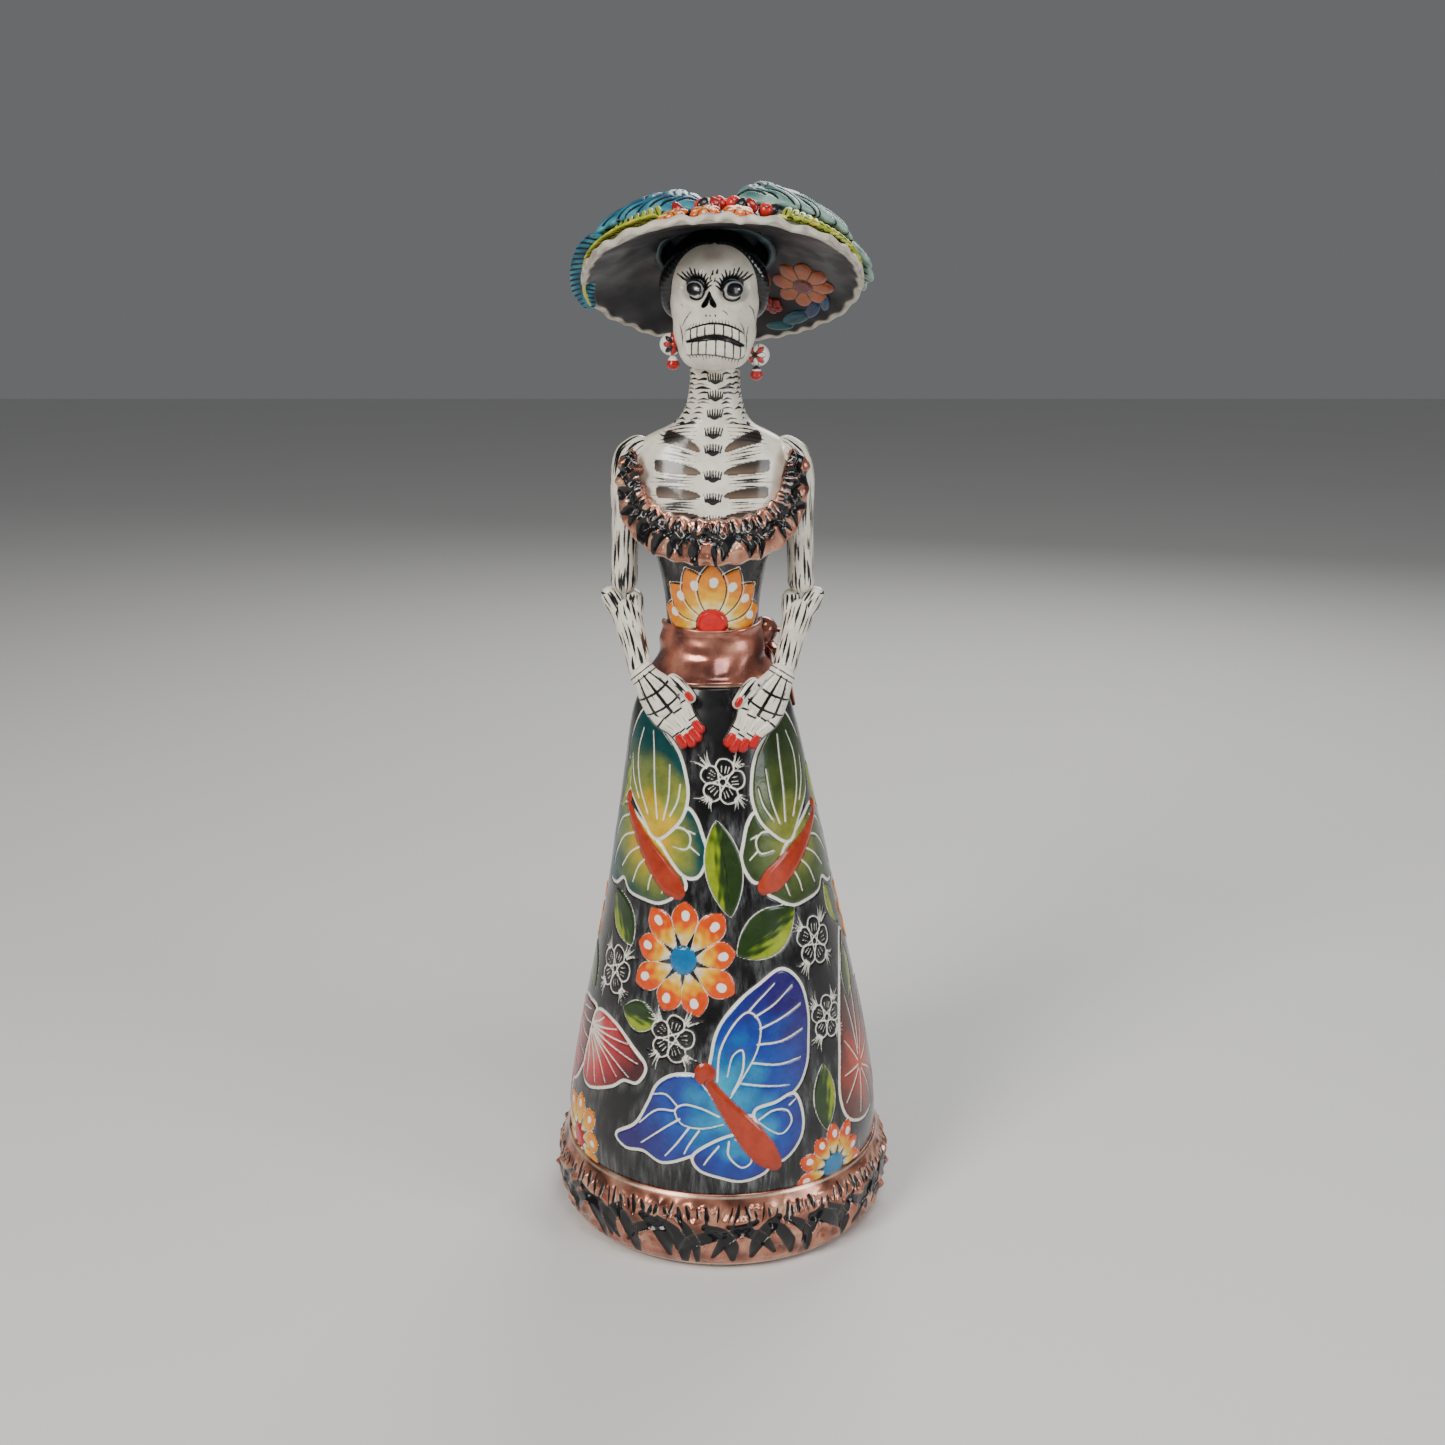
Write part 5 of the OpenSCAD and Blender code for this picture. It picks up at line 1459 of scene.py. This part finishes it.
def disc(reach, thick, base, columns=96, count=26, scallops=0, deep=0.0, start=0.0):
    """A domed disc with scalloped edge in its own frame: flat side at z 0, dome to +Z."""
    a = around(columns)
    share = np.linspace(0.01, 1, count)[:, None]
    lobe = 1 - deep * (1 - np.abs(np.cos((a - start) * scallops / 2))) if scallops else 1 + 0 * a
    r = reach * share * lobe
    z = thick * np.sqrt(np.clip(1 - share ** 4, 0, 1)) * (1 + 0 * a)
    rows = np.stack([r * np.cos(a), r * np.sin(a), z], -1)
    flat = rows.reshape(-1, 3)
    return Grid(rows, Coat(flat[:, 0], flat[:, 1], base))


def on_brim(bearing, inset, tip, height=0.0):
    """Places a piece's own frame on the brim, tipped outwards."""
    def place(points):
        x, y, z = points.T
        x, z = spin(x, z, -tip)
        r = BRIM_R - inset
        return in_hat(np.stack([*spin(x + r, y, bearing), z + brim_top(r) + height], 1))
    return place


def petal_disc(reach, thick, petals, disc_r, disc_color, stops, dot, start=0.0):
    """A flower of its own: petals shaded from the middle outwards, with dark seams between."""
    grid = disc(reach, thick, stops[-1], columns=192, count=60, scallops=petals, deep=0.22, start=start)
    coat = grid.coat
    r = np.hypot(coat.across, coat.up)
    angle = np.arctan2(coat.up, coat.across) - start
    step_angle = 2 * math.pi / petals
    away = np.abs((angle + step_angle / 2) % step_angle - step_angle / 2)
    uneven = 0.08 * waves(coat.across, coat.up, size=4, seed=9)
    coat.color[:] = ramp((r - disc_r) / (reach - disc_r) + uneven, *stops)
    seam = (step_angle / 2 - away) * r
    coat.dark = np.maximum(coat.dark, 0.26 - seam)
    coat.relief -= 0.45 * step(seam, 0.9, 0.0)
    # painted highlight: a white spot on each petal, where a glint falls on its dome
    if dot:
        gap = np.hypot(away * r, r - reach * 0.66)
        coat.white = np.maximum(coat.white, dot - gap)
    p = coat.patch(0, 0, reach=99)
    inside = p.spot(disc_r)
    p.fill(inside, disc_color, lift=0.5, soft=1.2)
    p.rim("dark", inside, 0.35)
    return grid


def make_hat_flowers():
    for name, bearing in (("middle", -97.5), ("right", -112), ("left", -83)):
        grid = petal_disc(6.0, 1.9, 6, 1.2, AMBER,
                          ((0.88, 0.34, 0.02), (0.82, 0.17, 0.006), (0.72, 0.09, 0.003)), 0.62)
        build("hat_flower_" + name + "_piece", [grid], PETAL_GLAZE, "hat", ["hat_flower_" + name],
              on_brim(bearing, 6.6, 44, 1.3))


def over_brim(bearing, inset, over):
    """A place over the top of the brim, inset in mm from its rim."""
    return polar(bearing, BRIM_R - inset, brim_top(BRIM_R - inset) + over)


def make_buds():
    grids = []
    for bearing, inset, over, r in ((-101, 14.5, 4.6, 2.9), (-92, 15, 5.6, 2.7), (-84, 15, 5.4, 3.0),
                                    (-75, 14.5, 4.8, 2.7), (-67, 13.5, 4.2, 2.8)):
        at = over_brim(bearing, inset, over)
        g = tube([at + (0, 0, r), at, at - (0, 0, r)], [r, r, r], (0.70, 0.03, 0.02), spacing=0.2)
        for turn in (0, 120, 240):
            p = g.coat.patch(turn, r * 0.9, reach=9)
            p.line("dark", [(-1.5, -1.0), (0.2, 0.5), (1.6, -0.4)], 0.1, 0.3, 0.1)
        grids.append(g)
    for k, bearing in enumerate((-112, -101.5, -92, -82.5, -73.5, -65)):
        at = over_brim(bearing, 12.4, 2.6)
        tip = over_brim(bearing + (3.5 if k % 2 else -3.5), 12.8, 8.0)
        grids.append(tube([at, (at + tip) / 2 + (0, -0.6, 0), tip], [0.8, 2.0, 1.7, 0.5],
                          (0.012, 0.012, 0.014) if k % 2 else (0.30, 0.012, 0.010), columns=40, spacing=0.3,
                          depth=[0.5, 0.9, 0.8, 0.3]))
    build("buds", grids, PETAL_GLAZE, "hat", ["rosebuds"], in_hat)


def make_sprig(name, start, way):
    """Small leaves in pairs along a stem that follows the rim."""
    bearings = start + way * np.linspace(-7, 58, 18)
    stem = [over_brim(b, 4.2, 1.8) for b in bearings]
    grids = [tube(stem, [0.8, 0.9, 0.7], (0.62, 0.62, 0.12), columns=24, spacing=0.6)]
    for k, b in enumerate(bearings[1:]):
        for out in (-1, 1):
            reach = BRIM_R - 4.2 + (4.4 if out > 0 else -4.6)
            root = over_brim(b, 4.2, 1.8)
            tip = polar(b + way * 6.2, reach, brim_top(reach) + (2.6 if out > 0 else 7.4))
            tone = (0.34, 0.40, 0.02) if (k + out) % 3 else (0.58, 0.52, 0.05)
            side = (math.cos(math.radians(b + 60)), math.sin(math.radians(b + 60)), 0)
            g = tube([root, (root + tip) / 2 + (0, 0, 0.7), tip], [0.5, 1.7, 1.5, 0.3], tone,
                     columns=28, spacing=0.3, side=side, depth=[0.4, 0.8, 0.7, 0.2])
            length = g.coat.up.max()
            for turn in (0, 180):
                p = g.coat.patch(turn, length / 2, reach=9)
                p.line("dark", [(0, -length * 0.4), (0, length * 0.35)], 0.28, 0.1)
            grids.append(g)
    build("sprig_" + name, grids, PETAL_GLAZE, "hat", ["leaf_sprig_" + name], in_hat)


def make_yellow_bud():
    spots = [over_brim(b, 4.4, 1.4) for b in (-3.5, 0, 3, 6, 9.5)]
    g = tube(spots, [1.6, 2.6, 2.6, 1.6], AMBER, columns=48, spacing=0.25, side=(0, 0, 1),
             depth=[1.6, 2.4, 2.4, 1.6])
    for y in np.arange(1, g.coat.up.max(), 1.5):
        g.coat.ring(y, 0.16)
    build("yellow_bud_piece", [g], PETAL_GLAZE, "hat", ["yellow_bud"], in_hat)


def under_brim(bearing, r):
    """Bends a flat ornament onto the underside of the brim, with its dome hanging down."""
    def place(points):
        x, y = spin(r + points[:, 0], points[:, 1], bearing)
        z = (BRIM_R - np.hypot(x, y)) * BRIM_SLOPE - points[:, 2] + 0.25
        return in_hat(np.stack([x, y, z], 1))
    return place


def make_under_brim():
    grid = petal_disc(11.6, 1.7, 8, 3.6, (0.16, 0.010, 0.006),
                      ((0.46, 0.11, 0.005), (0.40, 0.075, 0.004), (0.20, 0.03, 0.003)), 0.0, start=0.2)
    grid.rows = grid.rows * (1, 1.32, 1)
    build("under_flower", [grid], PETAL_GLAZE, "hat", ["brim_flower"], under_brim(23, 34.5))
    grid = petal_disc(4.2, 1.6, 5, 1.0, (0.30, 0.01, 0.01),
                      ((0.34, 0.012, 0.010), (0.24, 0.008, 0.008)), 0.0, start=0.5)
    build("under_rosette", [grid], PETAL_GLAZE, "hat", ["brim_rosette"], under_brim(57, 37.5))
    leaves = []
    for u, v, angle, reach, tone in (
            (0, 0, 90, 7.4, (0.008, 0.075, 0.11)), (-1.5, -9.5, 60, 6.2, (0.008, 0.035, 0.10)),
            (0.5, 9.0, 115, 6.2, (0.008, 0.09, 0.11)), (-20, -19, 20, 5.0, (0.008, 0.05, 0.09)),
            (-3.5, -17, 40, 5.0, (0.008, 0.05, 0.12)), (-21, 1.5, 160, 4.6, (0.008, 0.05, 0.09))):
        grid = disc(reach, 1.3, tone, columns=80, count=22)
        p = grid.coat.patch(0, 0, reach=20)
        p.line("dark", [(-reach * 0.8, 0), (reach * 0.8, 0)], 0.35, 0.25)
        x, y = spin(grid.rows[..., 0], grid.rows[..., 1] * 0.42, angle)
        grid.rows = np.stack([x + u, y + v, grid.rows[..., 2]], -1)
        leaves.append(grid)
    build("under_leaves", leaves, PETAL_GLAZE, "hat", ["brim_leaf"], under_brim(49, 46.0))


# ---------------------------------------------------------------- camera, light and floor

CAMERA_AT = (0, -0.640, 0.380)
LOOK_AT = (0, 0, 0.212)
LENS = 39.86                    # mm on a 36 mm sensor


def aim(name, data, at, target):
    """Stands a camera or a light at a place and points it at another."""
    obj = bpy.data.objects.new(name, data)
    bpy.context.scene.collection.objects.link(obj)
    obj.location = at
    obj.rotation_mode = "QUATERNION"
    obj.rotation_quaternion = (Vector(target) - Vector(at)).to_track_quat("-Z", "Y")
    return obj


def make_camera():
    data = bpy.data.cameras.new("camera")
    data.lens = LENS
    data.sensor_width = 36
    bpy.context.scene.camera = aim("camera", data, CAMERA_AT, LOOK_AT)


def area_light(name, at, size, power, color=(1, 1, 1)):
    data = bpy.data.lights.new(name, "AREA")
    data.shape = "RECTANGLE"
    data.size, data.size_y = size
    data.energy = power
    data.color = color
    aim(name, data, at, (0, 0, 0.22))


def make_studio():
    mesh = bpy.data.meshes.new("floor")
    mesh.from_pydata([(-6, -6, 0), (6, -6, 0), (6, 6, 0), (-6, 6, 0)], [], [(0, 1, 2, 3)])
    floor = bpy.data.objects.new("floor", mesh)
    bpy.context.scene.collection.objects.link(floor)
    material = bpy.data.materials.new("floor")
    n = Nodes(material)
    shader = n.add("ShaderNodeBsdfPrincipled")
    n.put(shader.inputs["Base Color"], n.mix(n.noise(3), (0.74, 0.73, 0.71), (0.78, 0.77, 0.75)))
    shader.inputs["Roughness"].default_value = 0.6
    n.put(n.add("ShaderNodeOutputMaterial").inputs["Surface"], shader.outputs[0])
    mesh.materials.append(material)
    world = bpy.data.worlds.new("studio")
    bpy.context.scene.world = world
    world.use_nodes = True
    sky = world.node_tree.nodes["Background"].inputs
    sky["Color"].default_value = (0.95, 0.97, 1.0, 1)
    sky["Strength"].default_value = 0.15
    area_light("key", (-0.9, -1.1, 1.2), (0.55, 0.7), 22, (1.0, 0.97, 0.93))
    area_light("fill", (1.2, -0.8, 0.7), (0.5, 0.9), 9, (0.95, 0.97, 1.0))
    area_light("top", (0.2, -0.7, 1.6), (0.6, 0.6), 9)
    area_light("back", (0.4, 1.2, 1.1), (0.9, 0.6), 10)


make_camera()
make_studio()
SKIRT_GLAZE = glaze("skirt_glaze", mottle=0.35, coat=0.4)
BODICE_GLAZE = glaze("bodice_glaze", mottle=0.35)
COPPER_GLAZE = glaze("copper_glaze", mottle=0.45, metallic=0.7, rough=0.24, line_color=(0.85, 0.72, 0.60))
BONE_GLAZE = glaze("bone_glaze", mottle=0.22, rough=0.3, coat=0.45)
HAIR_GLAZE = glaze("hair_glaze", mottle=0.1, rough=0.16)
EARRING_GLAZE = glaze("earring_glaze", mottle=0.15)
HAT_GLAZE = glaze("hat_glaze", mottle=0.4, rough=0.45, coat=0.12)
FEATHER_GLAZE = glaze("feather_glaze", mottle=0.35, rough=0.4, coat=0.2)
PETAL_GLAZE = glaze("petal_glaze", mottle=0.3)
make_skirt()
make_hem()
make_bodice()
make_sash()
make_bow()
make_ruffle()
make_chest()
make_arm(-1, "right")
make_arm(1, "left")
make_skull()
make_hair()
make_earrings()
make_brim()
make_crown()
make_feathers()
make_hat_flowers()
make_buds()
make_sprig("right", -120, -1)
make_sprig("left", -60, 1)
make_yellow_bud()
make_under_brim()
